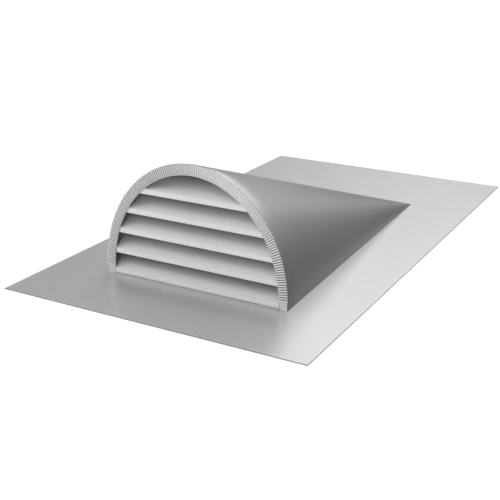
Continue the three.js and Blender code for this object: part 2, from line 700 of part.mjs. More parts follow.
// Cylinder lying along Y (or along X) between two positions.
function rodAlongY(x, z, y0, y1, radius, segments = 12) {
  return rod(0, 0, y0, y1, radius, segments).rotateX(-Math.PI / 2).translate(x, 0, z);
}

function rodAlongX(y, z, x0, x1, radius, segments = 12) {
  return rod(0, 0, x0, x1, radius, segments).rotateY(Math.PI / 2).translate(0, y, z);
}

// Upright cylinder at one of the lid's screws.
function lidRod(side, z0, z1, radius, segments) {
  return rod(side * LID_SCREW_X, BOX_MIDDLE_Y + side * LID_SCREW_Y, z0, z1, radius, segments);
}

function makeJunctionBox() {
  const y = BOX_MIDDLE_Y;
  const outside = roundedBlock(BOX_WIDTH, BOX_DEPTH, 6, y, BOX_BASE, BOX_TOP);
  const inside = roundedBlock(BOX_WIDTH - 2 * BOX_WALL, BOX_DEPTH - 2 * BOX_WALL, 4, y,
    BOX_BASE + BOX_WALL, BOX_TOP + CUT);
  const bosses = CORNERS.map((side) => lidRod(side, BOX_BASE + 1, BOX_TOP, 4.5, 12));
  const shell = joined(cutBy(outside, inside), ...bosses);
  const pilots = CORNERS.map((side) => lidRod(side, BOX_TOP - 14, BOX_TOP + CUT, 2, 8));
  const leadHole = rodAlongY(0, LEAD_ENTRY_Z, BOX_Y - CUT, BOX_Y + BOX_WALL + 2, 6.3);
  const switchHole = rodAlongY(SWITCH_X, LEAD_ENTRY_Z, BOX_Y - CUT, BOX_Y + BOX_WALL + 2, 7.3);
  const panelHole = rodAlongX(y, PANEL_ENTRY_Z, BOX_WIDTH / 2 - BOX_WALL - 2, BOX_WIDTH / 2 + CUT, 6.3);
  add('junction_box', cutBy(shell, ...pilots, leadHole, switchHole, panelHole), boxPlastic());
}

function makeJunctionBoxLid() {
  const y = BOX_MIDDLE_Y;
  const z0 = BOX_TOP + GAP;
  const plate = roundedBlock(BOX_WIDTH + 2, BOX_DEPTH + 2, 7, y, z0, z0 + LID_HEIGHT - 3);
  const raised = roundedBlock(BOX_WIDTH - 28, BOX_DEPTH - 12, 6, y, z0 + 1, z0 + LID_HEIGHT);
  const holes = CORNERS.map((side) => lidRod(side, z0 - CUT, z0 + CUT, 2.4, 8));
  add('junction_box_lid', cutBy(joined(plate, raised), ...holes), boxPlastic());
}

function makeLidScrews() {
  const headZ = BOX_TOP + LID_HEIGHT - 3 + 2 * GAP;
  CORNERS.forEach((side, index) => {
    const shank = lidRod(side, BOX_TOP - 10, headZ + 1, 1.7, 8);
    const head = lidRod(side, headZ, headZ + 2.4, 3.8, 12);
    add(`lid_screw_${index + 1}`, joined(shank, head), steel());
  });
}

// Gland: threaded sleeve through the wall, hexagonal collar, domed nut, and a bore for the lead.
function glandAlongY(x, z, wallY, bore) {
  const sleeve = rodAlongY(x, z, wallY - 2, wallY + BOX_WALL + 5, 5.9);
  const collar = rodAlongY(x, z, wallY - GAP - 5, wallY - GAP, 9, 6);
  const nut = rodAlongY(x, z, wallY - 16, wallY - 4, 7.6);
  const through = rodAlongY(x, z, wallY - CUT, wallY + CUT, bore);
  return cutBy(joined(sleeve, collar, nut), through);
}

function makeGlands() {
  const gland = glandAlongY(0, LEAD_ENTRY_Z, BOX_Y, LEAD_RADIUS + GLAND_ROOM);
  add('motor_lead_gland', gland, glandPlastic());
  const panel = glandAlongY(0, 0, 0, PANEL_LEAD_RADIUS + GLAND_ROOM);
  panel.rotateZ(Math.PI / 2).translate(BOX_WIDTH / 2, BOX_MIDDLE_Y, PANEL_ENTRY_Z);
  add('panel_lead_gland', panel, glandPlastic());
}

// Snap-disc thermal switch in the side of the box that faces the throat.
function makeThermalSwitch() {
  const body = rodAlongY(SWITCH_X, LEAD_ENTRY_Z, BOX_Y - 1, BOX_Y + BOX_WALL + 12, 6.9);
  const disc = rodAlongY(SWITCH_X, LEAD_ENTRY_Z, BOX_Y - GAP - 4, BOX_Y - GAP, 9.5, 20);
  add('thermal_switch', joined(body, disc), steel());
}

const LEAD_STRUT_Z = STRUT_BOTTOM + STRUT_THICKNESS + GAP + LEAD_RADIUS + 0.7;

// Route of the motor lead: out of the can, along the rear strut, over the rim, into the gland.
const LEAD_ROUTE = [
  [0, FAN_Y + MOTOR_RADIUS - 4, LEAD_EXIT_Z],
  [0, FAN_Y + MOTOR_RADIUS + 8, LEAD_EXIT_Z],
  [0, FAN_Y + 68, LEAD_EXIT_Z - 1.5],
  [0, FAN_Y + 84, LEAD_STRUT_Z + 4],
  [0, FAN_Y + 100, LEAD_STRUT_Z],
  [0, FAN_Y + 125, LEAD_STRUT_Z],
  [0, FAN_Y + 150, LEAD_STRUT_Z],
  [0, FAN_Y + 161, LEAD_STRUT_Z],
  [0, FAN_Y + 170, LEAD_STRUT_Z - 2],
  [0, FAN_Y + 177, LEAD_STRUT_Z - 8],
  [0, FAN_Y + 180, LEAD_STRUT_Z - 18],
  [0, FAN_Y + 183, LEAD_ENTRY_Z + 19],
  [0, FAN_Y + 188, LEAD_ENTRY_Z + 9],
  [0, FAN_Y + 197, LEAD_ENTRY_Z + 2],
  [0, FAN_Y + 208, LEAD_ENTRY_Z],
  [0, BOX_Y - 3, LEAD_ENTRY_Z],
  [0, BOX_Y + BOX_WALL + 9, LEAD_ENTRY_Z],
];

function makeMotorLead() {
  const points = LEAD_ROUTE.map(([x, y, z]) => new THREE.Vector3(x, y, z));
  const route = new THREE.CatmullRomCurve3(points, false, 'centripetal');
  const section = new THREE.Shape();
  section.absarc(0, 0, LEAD_RADIUS, 0, 2 * Math.PI, false);
  const lead = new THREE.ExtrudeGeometry(section, { extrudePath: route, steps: 26, curveSegments: 4 });
  add('motor_lead', lead, cableJacket());
}

// Saddle clips that hold the lead down on the rear strut.
function makeLeadClips() {
  [108, 138].forEach((distance, index) => {
    const y0 = FAN_Y + distance;
    const base = STRUT_BOTTOM + STRUT_THICKNESS + GAP;
    const foot = block(-9, y0, base, 9, y0 + 8, base + 1.4);
    const saddle = rodAlongY(0, LEAD_STRUT_Z, y0, y0 + 8, LEAD_RADIUS + 1.6, 16);
    const channel = rodAlongY(0, LEAD_STRUT_Z, y0 - CUT, y0 + CUT, LEAD_RADIUS + 0.45, 16);
    const underside = block(-CUT, y0 - CUT, base - CUT, CUT, y0 + CUT, base);
    add(`lead_clip_${index + 1}`, cutBy(joined(foot, saddle), channel, underside), glandPlastic());
  });
}

// ---------------------------------------------------------------- assembly

makeFlashing();
makeHood();
makeHoodAngle('hood_angle_left', -1);
makeHoodAngle('hood_angle_right', 1);
makeCrimpedRing();
makeLouvreFrame();
makeLouvres();
makeSill();
makeScreen();
makeVenturi();
makeVenturiRivets();
makeStruts();
makeMotorPlate();
makeStrutBolts();
makeMotorCan();
makeMotorScrews();
makeMotorCap();
makeStator();
makeBearing('bearing_lower', LOWER_BEARING_Z);
makeBearing('bearing_upper', UPPER_BEARING_Z);
makeShaft();
makeMagnet();
makeHub();
makeFanBlades();
makeHubNut();
makeJunctionBox();
makeJunctionBoxLid();
makeLidScrews();
makeGlands();
makeThermalSwitch();
makeMotorLead();
makeLeadClips();

export default part;
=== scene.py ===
"""Looks of the solar attic fan: a half-round dormer roof vent in galvanised sheet."""
from math import asin, atan, atan2, copysign, cos, exp, log, pi, radians, sin, sqrt

import bmesh
import bpy
from mathutils import Matrix, Vector


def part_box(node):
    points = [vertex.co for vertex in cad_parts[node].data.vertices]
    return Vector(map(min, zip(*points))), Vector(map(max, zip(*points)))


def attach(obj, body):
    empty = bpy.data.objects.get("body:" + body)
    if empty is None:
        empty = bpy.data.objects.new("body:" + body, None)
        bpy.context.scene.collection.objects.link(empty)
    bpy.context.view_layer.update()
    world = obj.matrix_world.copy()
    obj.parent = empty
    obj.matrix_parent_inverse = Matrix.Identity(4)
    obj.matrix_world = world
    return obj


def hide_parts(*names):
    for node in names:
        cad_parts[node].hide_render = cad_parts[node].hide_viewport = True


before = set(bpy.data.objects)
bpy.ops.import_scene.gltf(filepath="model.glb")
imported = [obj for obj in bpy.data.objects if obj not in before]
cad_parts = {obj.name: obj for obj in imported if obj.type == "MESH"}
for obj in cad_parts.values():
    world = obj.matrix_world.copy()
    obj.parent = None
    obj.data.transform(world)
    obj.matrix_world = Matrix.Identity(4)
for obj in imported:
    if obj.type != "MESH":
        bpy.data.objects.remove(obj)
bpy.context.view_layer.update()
MM = 0.001

# --- sizes taken from the frame

PLATE_LOW, PLATE_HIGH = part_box("flashing")
RING_LOW, RING_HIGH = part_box("crimped_arch_ring")
HOOD_LOW, HOOD_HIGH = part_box("hood_shell")
FRAME_LOW, FRAME_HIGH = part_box("louvre_frame")

PLATE_TOP = PLATE_HIGH.z
SHEET = 1.2 * MM
SPRING_Z = PLATE_TOP + 15 * MM          # straight legs below every half ellipse
FACE_Y = RING_LOW.y
RING_OUTER = (RING_HIGH.x, RING_HIGH.z)  # half width and crown of an arch
RING_INNER = (RING_HIGH.x - 23 * MM, RING_HIGH.z - 26.5 * MM)
FRAME_OUTER = (FRAME_HIGH.x, FRAME_HIGH.z)
FRAME_INNER = (RING_INNER[0] + 0.5 * MM, RING_INNER[1] + 0.5 * MM)
HOOD_OUTER = (HOOD_HIGH.x, HOOD_HIGH.z)
HOOD_BACK_HALF = 206 * MM
HOOD_BACK_Y = FACE_Y + 866 * MM
HOOD_COLLAR = 8 * MM


# --- mesh helpers

def add_mesh(name, points, faces):
    mesh = bpy.data.meshes.new(name)
    mesh.from_pydata([tuple(p) for p in points], [], faces)
    mesh.validate()
    piece = bpy.data.objects.new(name, mesh)
    bpy.context.scene.collection.objects.link(piece)
    return piece


def soften(piece, angle=35.0):
    """Smooth shading that still breaks at sharp edges."""
    piece.data.polygons.foreach_set("use_smooth", [True] * len(piece.data.polygons))
    split = piece.modifiers.new("sharp_edges", "EDGE_SPLIT")
    split.split_angle = radians(angle)


def place(piece, material, *nodes, body="housing"):
    """Gives a piece its material, slot and body, and hides the nodes it replaces."""
    piece.data.materials.clear()
    piece.data.materials.append(material)
    if nodes:
        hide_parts(*nodes)
    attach(piece, body)


def turned_to(position, angle, axis):
    return Matrix.Translation(position) @ Matrix.Rotation(angle, 4, axis)


def arch_point(size, angle):
    """A point of the arch of that (half width, crown): angle 0 is the right spring line."""
    half, crown = size
    return half * cos(angle), SPRING_Z + (crown - SPRING_Z) * sin(angle)


def arc(centre, radius, start, end, steps):
    """Points of an arc in a profile, angles in degrees."""
    turns = [radians(start + (end - start) * k / steps) for k in range(steps + 1)]
    return [(centre[0] + radius * cos(turn), centre[1] + radius * sin(turn)) for turn in turns]


def heights(node):
    """Lowest and highest level of a node, in mm."""
    return [corner.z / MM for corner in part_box(node)]


def reach(node):
    """How far a node goes towards +X, in mm: its radius, if it is turned about the fan's axis."""
    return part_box(node)[1].x / MM


def each(name, count):
    """Name, centre (m), lowest and highest level (mm) of nodes with numbered names."""
    for index in range(1, count + 1):
        node = f"{name}_{index}"
        low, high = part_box(node)
        yield node, (low.x + high.x) / 2, (low.y + high.y) / 2, low.z / MM, high.z / MM


def darken_points(piece, values):
    """Stores how much of its tone each point keeps, in the attribute that the sheet metal reads: 1 is full
    tone, 0 darkest.
    """
    darkening_map = piece.data.attributes.new("darkening_map", "FLOAT", "POINT")
    darkening_map.data.foreach_set("value", values)


def section_at(inner, outer, section, face_y, unit=1.0):
    """Places a section of (share from inner to outer, depth behind the face) points in an arch."""
    points = []
    for share, depth in section:
        x, z = (a + (b - a) * share for a, b in zip(inner, outer))
        points.append((x, face_y + depth * unit, z))
    return points


# --- materials

class Nodes:
    """Short-hand for building a material's node tree."""

    def __init__(self, name):
        self.material = bpy.data.materials.new(name)
        self.material.use_nodes = True
        self.tree = self.material.node_tree
        self.tree.nodes.clear()
        self.output = self.tree.nodes.new("ShaderNodeOutputMaterial")
        self.shader = self.tree.nodes.new("ShaderNodeBsdfPrincipled")
        self.link(self.shader.outputs[0], self.output.inputs[0])
        self.place = self.tree.nodes.new("ShaderNodeTexCoord").outputs["Object"]

    def link(self, source, target):
        self.tree.links.new(source, target)

    def node(self, kind, inputs, **settings):
        """A node with its inputs, which are numbers, colours or the outputs of other nodes."""
        made = self.tree.nodes.new(kind)
        for key, value in settings.items():
            setattr(made, key, value)
        for slot, value in inputs.items():
            self.put(value, made.inputs[slot])
        return made

    def put(self, value, socket):
        if isinstance(value, (int, float, tuple)):
            socket.default_value = value
        else:
            self.link(value, socket)

    def feed(self, name, value):
        self.put(value, self.shader.inputs[name])

    def noise(self, scale, detail=2.0, rough=0.5, stretch=None):
        made = self.node("ShaderNodeTexNoise", {"Scale": scale, "Detail": detail, "Roughness": rough})
        self.link(self.stretched(stretch) if stretch else self.place, made.inputs["Vector"])
        return made.outputs["Fac"]

    def cells(self, scale):
        return self.node("ShaderNodeTexVoronoi", {"Scale": scale, "Vector": self.place}).outputs["Color"]

    def stretched(self, stretch):
        return self.node("ShaderNodeMapping", {"Scale": stretch, "Vector": self.place}).outputs[0]

    def spread(self, value, low, high, from_low=0.0, from_high=1.0):
        ends = {"From Min": from_low, "From Max": from_high, "To Min": low, "To Max": high, "Value": value}
        return self.node("ShaderNodeMapRange", ends).outputs["Result"]

    def mix(self, share, first, second, blend="MIX"):
        parts = {0: share, 6: first, 7: second}
        return self.node("ShaderNodeMix", parts, data_type="RGBA", blend_type=blend).outputs[2]

    def sum(self, first, second):
        return self.node("ShaderNodeMath", {0: first, 1: second}).outputs[0]

    def bump(self, height, distance, strength=1.0, below=None):
        made = self.node("ShaderNodeBump", {"Strength": strength, "Distance": distance, "Height": height})
        if below is not None:
            self.link(below, made.inputs["Normal"])
        return made.outputs[0]


def grey(value):
    return value, value, value, 1.0


def scaled(tone, factor):
    return tuple(min(1.0, c * factor) for c in tone) + (1.0,)


def galvanised(name, tone, rough, metal, spangle, grain, speck_size=2600.0, painted_shade=None, darkening=0.0):
    """Hot-dip galvanised sheet: faint zinc crystals, fine grain, patchy roughness.

    metal: share of bare zinc, the rest is its pale patina.
    painted_shade: (axis, start, end, first, last) is painted shade that scales the tone from first to
    last between two places along an axis.
    darkening: how far the tone is darkened where darken_points() says so: painted shade in the
    ring's pleats, and a darker rounded edge on the flashing.
    """
    n = Nodes(name)
    crystals = n.node("ShaderNodeSeparateColor", {})
    n.link(n.cells(170.0), crystals.inputs[0])
    large = crystals.outputs[0]
    speck = n.noise(speck_size, 3.0, 0.7)
    cloud = n.noise(9.0, 4.0, 0.55)
    shade = n.sum(n.spread(large, -spangle, spangle), n.spread(speck, -grain, grain, 0.3, 0.7))
    shade = n.sum(shade, n.spread(cloud, -0.008, 0.008, 0.3, 0.7))
    factor = n.spread(shade, 0.0, 1.0, -0.25, 0.25)
    colour = n.mix(factor, grey(tone * 0.75), grey(min(1.0, tone * 1.25)))
    # painted shade: the tone is scaled from first to last along an axis
    if painted_shade:
        depth = n.node("ShaderNodeSeparateXYZ", {0: n.place})
        axis, start, end, first, last = painted_shade
        colour = n.mix(1.0, colour, n.spread(depth.outputs[axis], first, last, start, end), "MULTIPLY")
    # darkened where the point attribute says so: painted shade on the ring, a darker rounded edge on the
    # flashing
    if darkening:
        darkening_map = n.node("ShaderNodeAttribute", {}, attribute_name="darkening_map").outputs["Fac"]
        colour = n.mix(1.0, colour, n.spread(darkening_map, 1.0 - darkening, 1.0, 0.1, 0.8), "MULTIPLY")
    n.feed("Base Color", colour)
    uneven = n.sum(n.spread(crystals.outputs[1], -0.02, 0.02), n.spread(cloud, -0.01, 0.01, 0.3, 0.7))
    uneven = n.sum(uneven, n.spread(speck, -0.03, 0.03, 0.3, 0.7))
    n.feed("Roughness", n.spread(uneven, rough - 0.2, rough + 0.2, -0.2, 0.2))
    normal = n.bump(speck, 0.00006, 0.5)
    normal = n.bump(large, 0.00003, 0.4, normal)
    n.feed("Normal", normal)
    n.feed("Metallic", metal)
    return n.material


def bare_metal(name, tone, rough, stretch, marks=0.05):
    """Drawn, rolled or turned metal: fine marks along one way, and patches of dull handling."""
    n = Nodes(name)
    fine = n.noise(900.0, 4.0, 0.6, stretch)
    patch = n.noise(40.0, 3.0, 0.5)
    shade = n.sum(n.spread(fine, -marks, marks, 0.3, 0.7), n.spread(patch, -0.04, 0.04, 0.3, 0.7))
    low, high = scaled(tone, 0.8), scaled(tone, 1.15)
    n.feed("Base Color", n.mix(n.spread(shade, 0.0, 1.0, -0.12, 0.12), low, high))
    n.feed("Roughness", n.spread(shade, rough - 0.12, rough + 0.12, -0.12, 0.12))
    n.feed("Normal", n.bump(fine, 0.00003, 0.5))
    n.feed("Metallic", 1.0)
    return n.material


def moulded(name, tone, rough, grain, depth, specular=0.5):
    """Plastic, rubber or paint with a fine surface texture and slight changes of tone."""
    n = Nodes(name)
    fine = n.noise(grain, 3.0, 0.6)
    patch = n.noise(25.0, 3.0, 0.5)
    low, high = scaled(tone, 0.75), scaled(tone, 1.3)
    n.feed("Base Color", n.mix(n.spread(patch, 0.0, 1.0, 0.3, 0.7), low, high))
    n.feed("Roughness", n.spread(n.sum(fine, patch), rough - 0.1, rough + 0.1, 0.7, 1.3))
    n.feed("Normal", n.bump(fine, depth, 0.7))
    n.feed("Specular IOR Level", specular)
    return n.material


def stacked(name, tone, pitch, rough=0.5):
    """Laminations: thin level layers, a little brown with varnish."""
    n = Nodes(name)
    wave = n.node("ShaderNodeTexWave", {"Scale": pi / 10 / pitch, "Distortion": 0.4, "Vector": n.place},
                  wave_type="BANDS", bands_direction="Z")
    varnish = n.noise(60.0, 3.0)
    layers = n.mix(wave.outputs["Fac"], scaled(tone, 0.55), scaled(tone, 1.0))
    n.feed("Base Color", n.mix(n.spread(varnish, 0.0, 0.5, 0.35, 0.7), layers, (0.16, 0.09, 0.045, 1.0)))
    n.feed("Roughness", n.spread(varnish, rough - 0.1, rough + 0.15))
    n.feed("Normal", n.bump(wave.outputs["Fac"], 0.0001, 0.6))
    n.feed("Metallic", 0.7)
    return n.material


SHEET_METAL = galvanised("hot_dip_sheet", 0.72, 0.45, 0.6, 0.025, 0.02)
PLATE_METAL = galvanised("hot_dip_plate", 0.72, 0.32, 0.5, 0.025, 0.02, darkening=0.6)
HOOD_METAL = galvanised("hot_dip_hood", 0.72, 0.36, 0.9, 0.025, 0.02)
TRIM_METAL = galvanised("hot_dip_trim", 0.66, 0.55, 0.6, 0.02, 0.1, 700.0)
RING_METAL = galvanised("hot_dip_ring", 0.97, 0.55, 0.6, 0.02, 0.1, 700.0, darkening=0.7)
# painted shade: the blade slopes keep full tone up to 24 mm behind the face and darken to 0.35 of it at 38 mm
BLADE_METAL = galvanised("hot_dip_blade", 0.79, 0.55, 0.6, 0.02, 0.1, 700.0,
                         ("Y", FACE_Y + 24 * MM, FACE_Y + 38 * MM, 1.0, 0.35))
# painted shade: the wall round the louvres is darkened to 0.15 of its tone at the front, rising to 0.6
# further back
WALL_METAL = galvanised("hot_dip_wall", 0.8, 0.6, 0.6, 0.03, 0.1, 700.0,
                        ("Y", FACE_Y + 8 * MM, FACE_Y + 34 * MM, 0.15, 0.6))
SCREEN_WIRE = bare_metal("drawn_wire", (0.55, 0.555, 0.56), 0.42, (1, 1, 1))
ZINC_PLATE = bare_metal("zinc_plated_bar", (0.62, 0.63, 0.65), 0.38, (0.15, 1, 1))
FASTENER = bare_metal("bright_fastener", (0.6, 0.6, 0.61), 0.3, (1, 1, 0.2))
ALUMINIUM = bare_metal("mill_aluminium", (0.8, 0.805, 0.81), 0.38, (0.1, 1, 1))
MOTOR_PAINT = moulded("black_powder_coat", (0.03, 0.031, 0.033), 0.42, 1400.0, 0.00008)
LAMINATION = stacked("varnished_laminations", (0.3, 0.29, 0.28), 0.0005)
WINDING = stacked("enamelled_winding", (0.75, 0.3, 0.1), 0.0006, 0.3)
FERRITE = moulded("sintered_ferrite", (0.06, 0.062, 0.068), 0.6, 2200.0, 0.00005)
BOX_PLASTIC = moulded("grey_box_plastic", (0.085, 0.09, 0.095), 0.55, 1800.0, 0.00008)
GLAND_NYLON = moulded("black_nylon", (0.018, 0.019, 0.021), 0.45, 1200.0, 0.00004)
CABLE_JACKET = moulded("rubber_jacket", (0.015, 0.015, 0.016), 0.6, 1500.0, 0.00005)
WIRE_RED = moulded("red_core", (0.35, 0.02, 0.02), 0.4, 1500.0, 0.00002)
WIRE_BLACK = moulded("black_core", (0.02, 0.02, 0.022), 0.4, 1500.0, 0.00002)


# --- shapes made of several shells

class Shape:
    """Collects closed shells, given in metres, into one piece."""

    def __init__(self):
        self.points = []
        self.faces = []

    def add(self, points, faces):
        start = len(self.points)
        self.points += [tuple(p) for p in points]
        self.faces += [tuple(start + i for i in face) for face in faces]
        return self

    def rings(self, loops, closed=False):
        """Joins loops of as many points into a skin, with a face on each end unless it is closed."""
        size, count = len(loops[0]), len(loops)
        faces = []
        for a in range(count if closed else count - 1):
            b = (a + 1) % count
            for i in range(size):
                j = (i + 1) % size
                faces.append((a * size + i, a * size + j, b * size + j, b * size + i))
        if not closed:
            faces.append(tuple(range(size))[::-1])
            faces.append(tuple(range((count - 1) * size, count * size)))
        return self.add([p for loop in loops for p in loop], faces)

    def turned(self, profile, x, y, segments=64):
        """A closed profile of (radius, height) points, in mm, turned about an upright axis."""
        return self.rings([self.circle(x, y, radius, segments, z) for radius, z in profile], closed=True)

    def prism(self, x, y, z0, z1, radius, sides=6, chamfer=0.5, bore=0.0):
        """A nut: an upright prism with turned corners and a round bore, in mm."""
        count = sides * 8
        loops = []
        flat = radius * cos(pi / sides)
        for z, cap in ((z0, flat), (z0 + chamfer, radius), (z1 - chamfer, radius), (z1, flat)):
            loop = []
            for i in range(count):
                turn = 2 * pi * i / count
                inside = (turn + pi / sides) % (2 * pi / sides) - pi / sides
                loop.append(self.at(x, y, min(cap, flat / cos(inside)), i, count, z))
            loops.append(loop)
        if bore:
            loops += [self.circle(x, y, bore, count, z) for z in (z1, z0)]
        return self.rings(loops, closed=bool(bore))

    def head(self, x, y, z0, z1, radius, socket):
        """A round screw head from its seat z0 to its top z1, in mm, with a six-sided socket."""
        count = 36
        tall = z1 - z0
        loops = []
        for share, height in ((0.02, 0.0), (0.94, 0.0), (1.0, 0.12), (1.0, 0.35), (0.93, 0.68), (0.8, 0.88),
                              (0.62, 1.0)):
            loops.append(self.circle(x, y, radius * share, count, z0 + tall * height))
        for depth in (1.0, 0.35):
            sides = [socket * cos(pi / 6) / cos((2 * pi * i / count + pi / 6) % (pi / 3) - pi / 6)
                     for i in range(count)]
            loops.append([self.at(x, y, side, i, count, z0 + tall * depth) for i, side in enumerate(sides)])
        return self.rings(loops)

    @staticmethod
    def at(x, y, radius, i, count, z):
        """Point i of count on a level circle round (x, y): those in metres, radius and height in mm."""
        turn = 2 * pi * i / count
        return x + radius * MM * cos(turn), y + radius * MM * sin(turn), z * MM

    def circle(self, x, y, radius, count, z):
        return [self.at(x, y, radius, i, count, z) for i in range(count)]

    def thread(self, x, y, z0, z1, radius, pitch=0.8, segments=20):
        """A rod with V-shaped thread rings, in mm."""
        turns = max(2, round(abs(z1 - z0) / pitch))
        loops = []
        for k in range(2 * turns + 1):
            z = z0 + (z1 - z0) * k / (2 * turns)
            loops.append(self.circle(x, y, radius if k % 2 else radius - 0.35, segments, z))
        return self.rings(loops)

    def tube(self, path, radius, sides=12):
        """A tube along a path of vectors, closed at both ends, in metres."""
        return self.rings(tube_loops(path, radius, sides))

    def build(self, name, angle=35.0, matrix=None, weld=True):
        """The piece, with its faces turned outwards and its points welded where they meet."""
        piece = add_mesh(name, self.points, self.faces)
        work = bmesh.new()
        work.from_mesh(piece.data)
        if weld:
            bmesh.ops.remove_doubles(work, verts=work.verts, dist=1e-7)
            bmesh.ops.dissolve_degenerate(work, edges=work.edges, dist=1e-7)
        bmesh.ops.recalc_face_normals(work, faces=work.faces)
        work.to_mesh(piece.data)
        work.free()
        if matrix is not None:
            piece.data.transform(matrix)
        soften(piece, angle)
        return piece


def tube_loops(path, radius, sides):
    loops = []
    side = None
    for k, point in enumerate(path):
        ahead = path[min(k + 1, len(path) - 1)] - path[max(k - 1, 0)]
        ahead.normalize()
        if side is None:
            side = ahead.cross(Vector((0, 0, 1)) if abs(ahead.z) < 0.9 else Vector((1, 0, 0)))
        side = (side - ahead * side.dot(ahead)).normalized()
        other = ahead.cross(side)
        loops.append(circle_of(point, side, other, radius, sides))
    return loops


def circle_of(point, across, up, radius, sides):
    turns = [2 * pi * i / sides for i in range(sides)]
    return [point + (across * cos(turn) + up * sin(turn)) * radius for turn in turns]


def smooth_path(points, steps):
    """Centripetal Catmull-Rom curve through the points, as three.js makes it."""
    points = [Vector(p) for p in points]
    points = [points[0] * 2 - points[1]] + points + [points[-1] * 2 - points[-2]]
    path = []
    for k in range(1, len(points) - 2):
        p0, p1, p2, p3 = points[k - 1:k + 3]
        t0 = 0.0
        t1 = t0 + (p1 - p0).length ** 0.5
        t2 = t1 + (p2 - p1).length ** 0.5
        t3 = t2 + (p3 - p2).length ** 0.5
        for step in range(steps):
            t = t1 + (t2 - t1) * step / steps
            a1 = p0.lerp(p1, (t - t0) / (t1 - t0))
            a2 = p1.lerp(p2, (t - t1) / (t2 - t1))
            a3 = p2.lerp(p3, (t - t2) / (t3 - t2))
            b1 = a1.lerp(a2, (t - t0) / (t2 - t0))
            b2 = a2.lerp(a3, (t - t1) / (t3 - t1))
            path.append(b1.lerp(b2, (t - t1) / (t2 - t1)))
    path.append(points[-2])
    return path


def rounded(node, radius, material, segments=3):
    """The node's own solid with its flat faces merged and its edges rounded."""
    work = bmesh.new()
    work.from_mesh(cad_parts[node].data)
    bmesh.ops.remove_doubles(work, verts=work.verts, dist=2e-6)
    bmesh.ops.dissolve_limit(work, angle_limit=radians(1.0), verts=work.verts, edges=work.edges)
    mesh = bpy.data.meshes.new(node + "_rounded")
    work.to_mesh(mesh)
    work.free()
    piece = bpy.data.objects.new(node + "_rounded", mesh)
    bpy.context.scene.collection.objects.link(piece)
    bevel = piece.modifiers.new("rounded_edges", "BEVEL")
    bevel.width = radius
    bevel.segments = segments
    bevel.limit_method = "ANGLE"
    bevel.angle_limit = radians(40)
    bevel.use_clamp_overlap = True
    soften(piece, 40)
    place(piece, material, node)


# --- flashing

def make_flashing():
    """Flat sheet with a folded, rounded edge and the round throat."""
    half_x, half_y = PLATE_HIGH.x, PLATE_HIGH.y
    centre_y = sum(p.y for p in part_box("venturi_ring")) / 2
    hole = 149 * MM
    hem = 12 * MM
    turns = 12
    count = 4 * 36

    def rectangle(inset, z):
        """Points of the outline, as many as the hole has."""
        points = []
        for side in range(4):
            for step in range(count // 4):
                share = -1 + 2 * step / (count // 4)
                x, y = [(1, share), (-share, 1), (-1, -share), (share, -1)][side]
                points.append((x * (half_x - inset), y * (half_y - inset), z))
        return points

    def circle(z):
        points = []
        for x, y, _ in rectangle(0, 0):
            angle = atan2((y - centre_y) / half_y, x / half_x)
            points.append((hole * cos(angle), centre_y + hole * sin(angle), z))
        return points

    radius = PLATE_TOP / 2
    loops = [circle(PLATE_TOP), rectangle(radius + 0.6 * MM, PLATE_TOP)]
    loops += [rectangle(inset, z) for inset, z in arc((radius, radius), radius, 90, 270, turns)]
    loops.append(rectangle(hem, 0.0))
    loops.append(rectangle(hem, PLATE_TOP - SHEET))
    loops.append(circle(PLATE_TOP - SHEET))
    piece = Shape().rings(loops, closed=True).build("flashing_sheet", 40, weld=False)
    first_turn = 2                              # loop 0 is the throat, loop 1 the flat's outer end
    # the rounded edge of the sheet is darkened to 0.4 of its tone
    darken_points(piece, [0.0 if first_turn < loop < first_turn + turns else 1.0
                  for loop in range(len(loops)) for _ in range(count)])
    piece.visible_glossy = False               # the hood mirrors the studio, not the sheet it stands on
    place(piece, PLATE_METAL, "flashing")


# --- hood

def make_hood():
    """Sheet wrapped from the half-round collar down to a straight line at the back.

    Each side is part of an oblique cone whose tip is a back corner, and the triangle between
    the crown and the back line is flat.
    """
    segments = 72
    front_y, collar_y = HOOD_LOW.y, HOOD_LOW.y + HOOD_COLLAR
    rows_out = hood_rows(HOOD_OUTER, HOOD_BACK_HALF, front_y, collar_y, HOOD_BACK_Y, segments)
    slope = atan((HOOD_OUTER[1] - PLATE_TOP) / (HOOD_BACK_Y - collar_y))
    inner = (HOOD_OUTER[0] - SHEET, HOOD_OUTER[1] - SHEET)
    rows_in = hood_rows(inner, HOOD_BACK_HALF - SHEET, front_y, collar_y,
                        HOOD_BACK_Y - SHEET / sin(slope), segments)
    points = [p for rows in (rows_out, rows_in) for row in rows for p in row]
    wide, deep = len(rows_out[0]), len(rows_out)
    inside = wide * deep
    faces = []
    for r in range(deep - 1):
        for i in range(wide - 1):
            a, b = r * wide + i, (r + 1) * wide + i
            faces.append((a, a + 1, b + 1, b))
            faces.append((inside + b, inside + b + 1, inside + a + 1, inside + a))
    for i in range(wide - 1):          # front edge and back line
        faces.append((i + 1, i, inside + i, inside + i + 1))
        last = (deep - 1) * wide + i
        faces.append((last, last + 1, inside + last + 1, inside + last))
    for r in range(deep - 1):          # the two feet
        for i in (0, wide - 1):
            a, b = r * wide + i, (r + 1) * wide + i
            faces.append((a, b, inside + b, inside + a) if i == 0 else (b, a, inside + a, inside + b))
    piece = Shape().add(points, faces).build("hood_skin", 50, weld=False)
    place(piece, HOOD_METAL, "hood_shell")


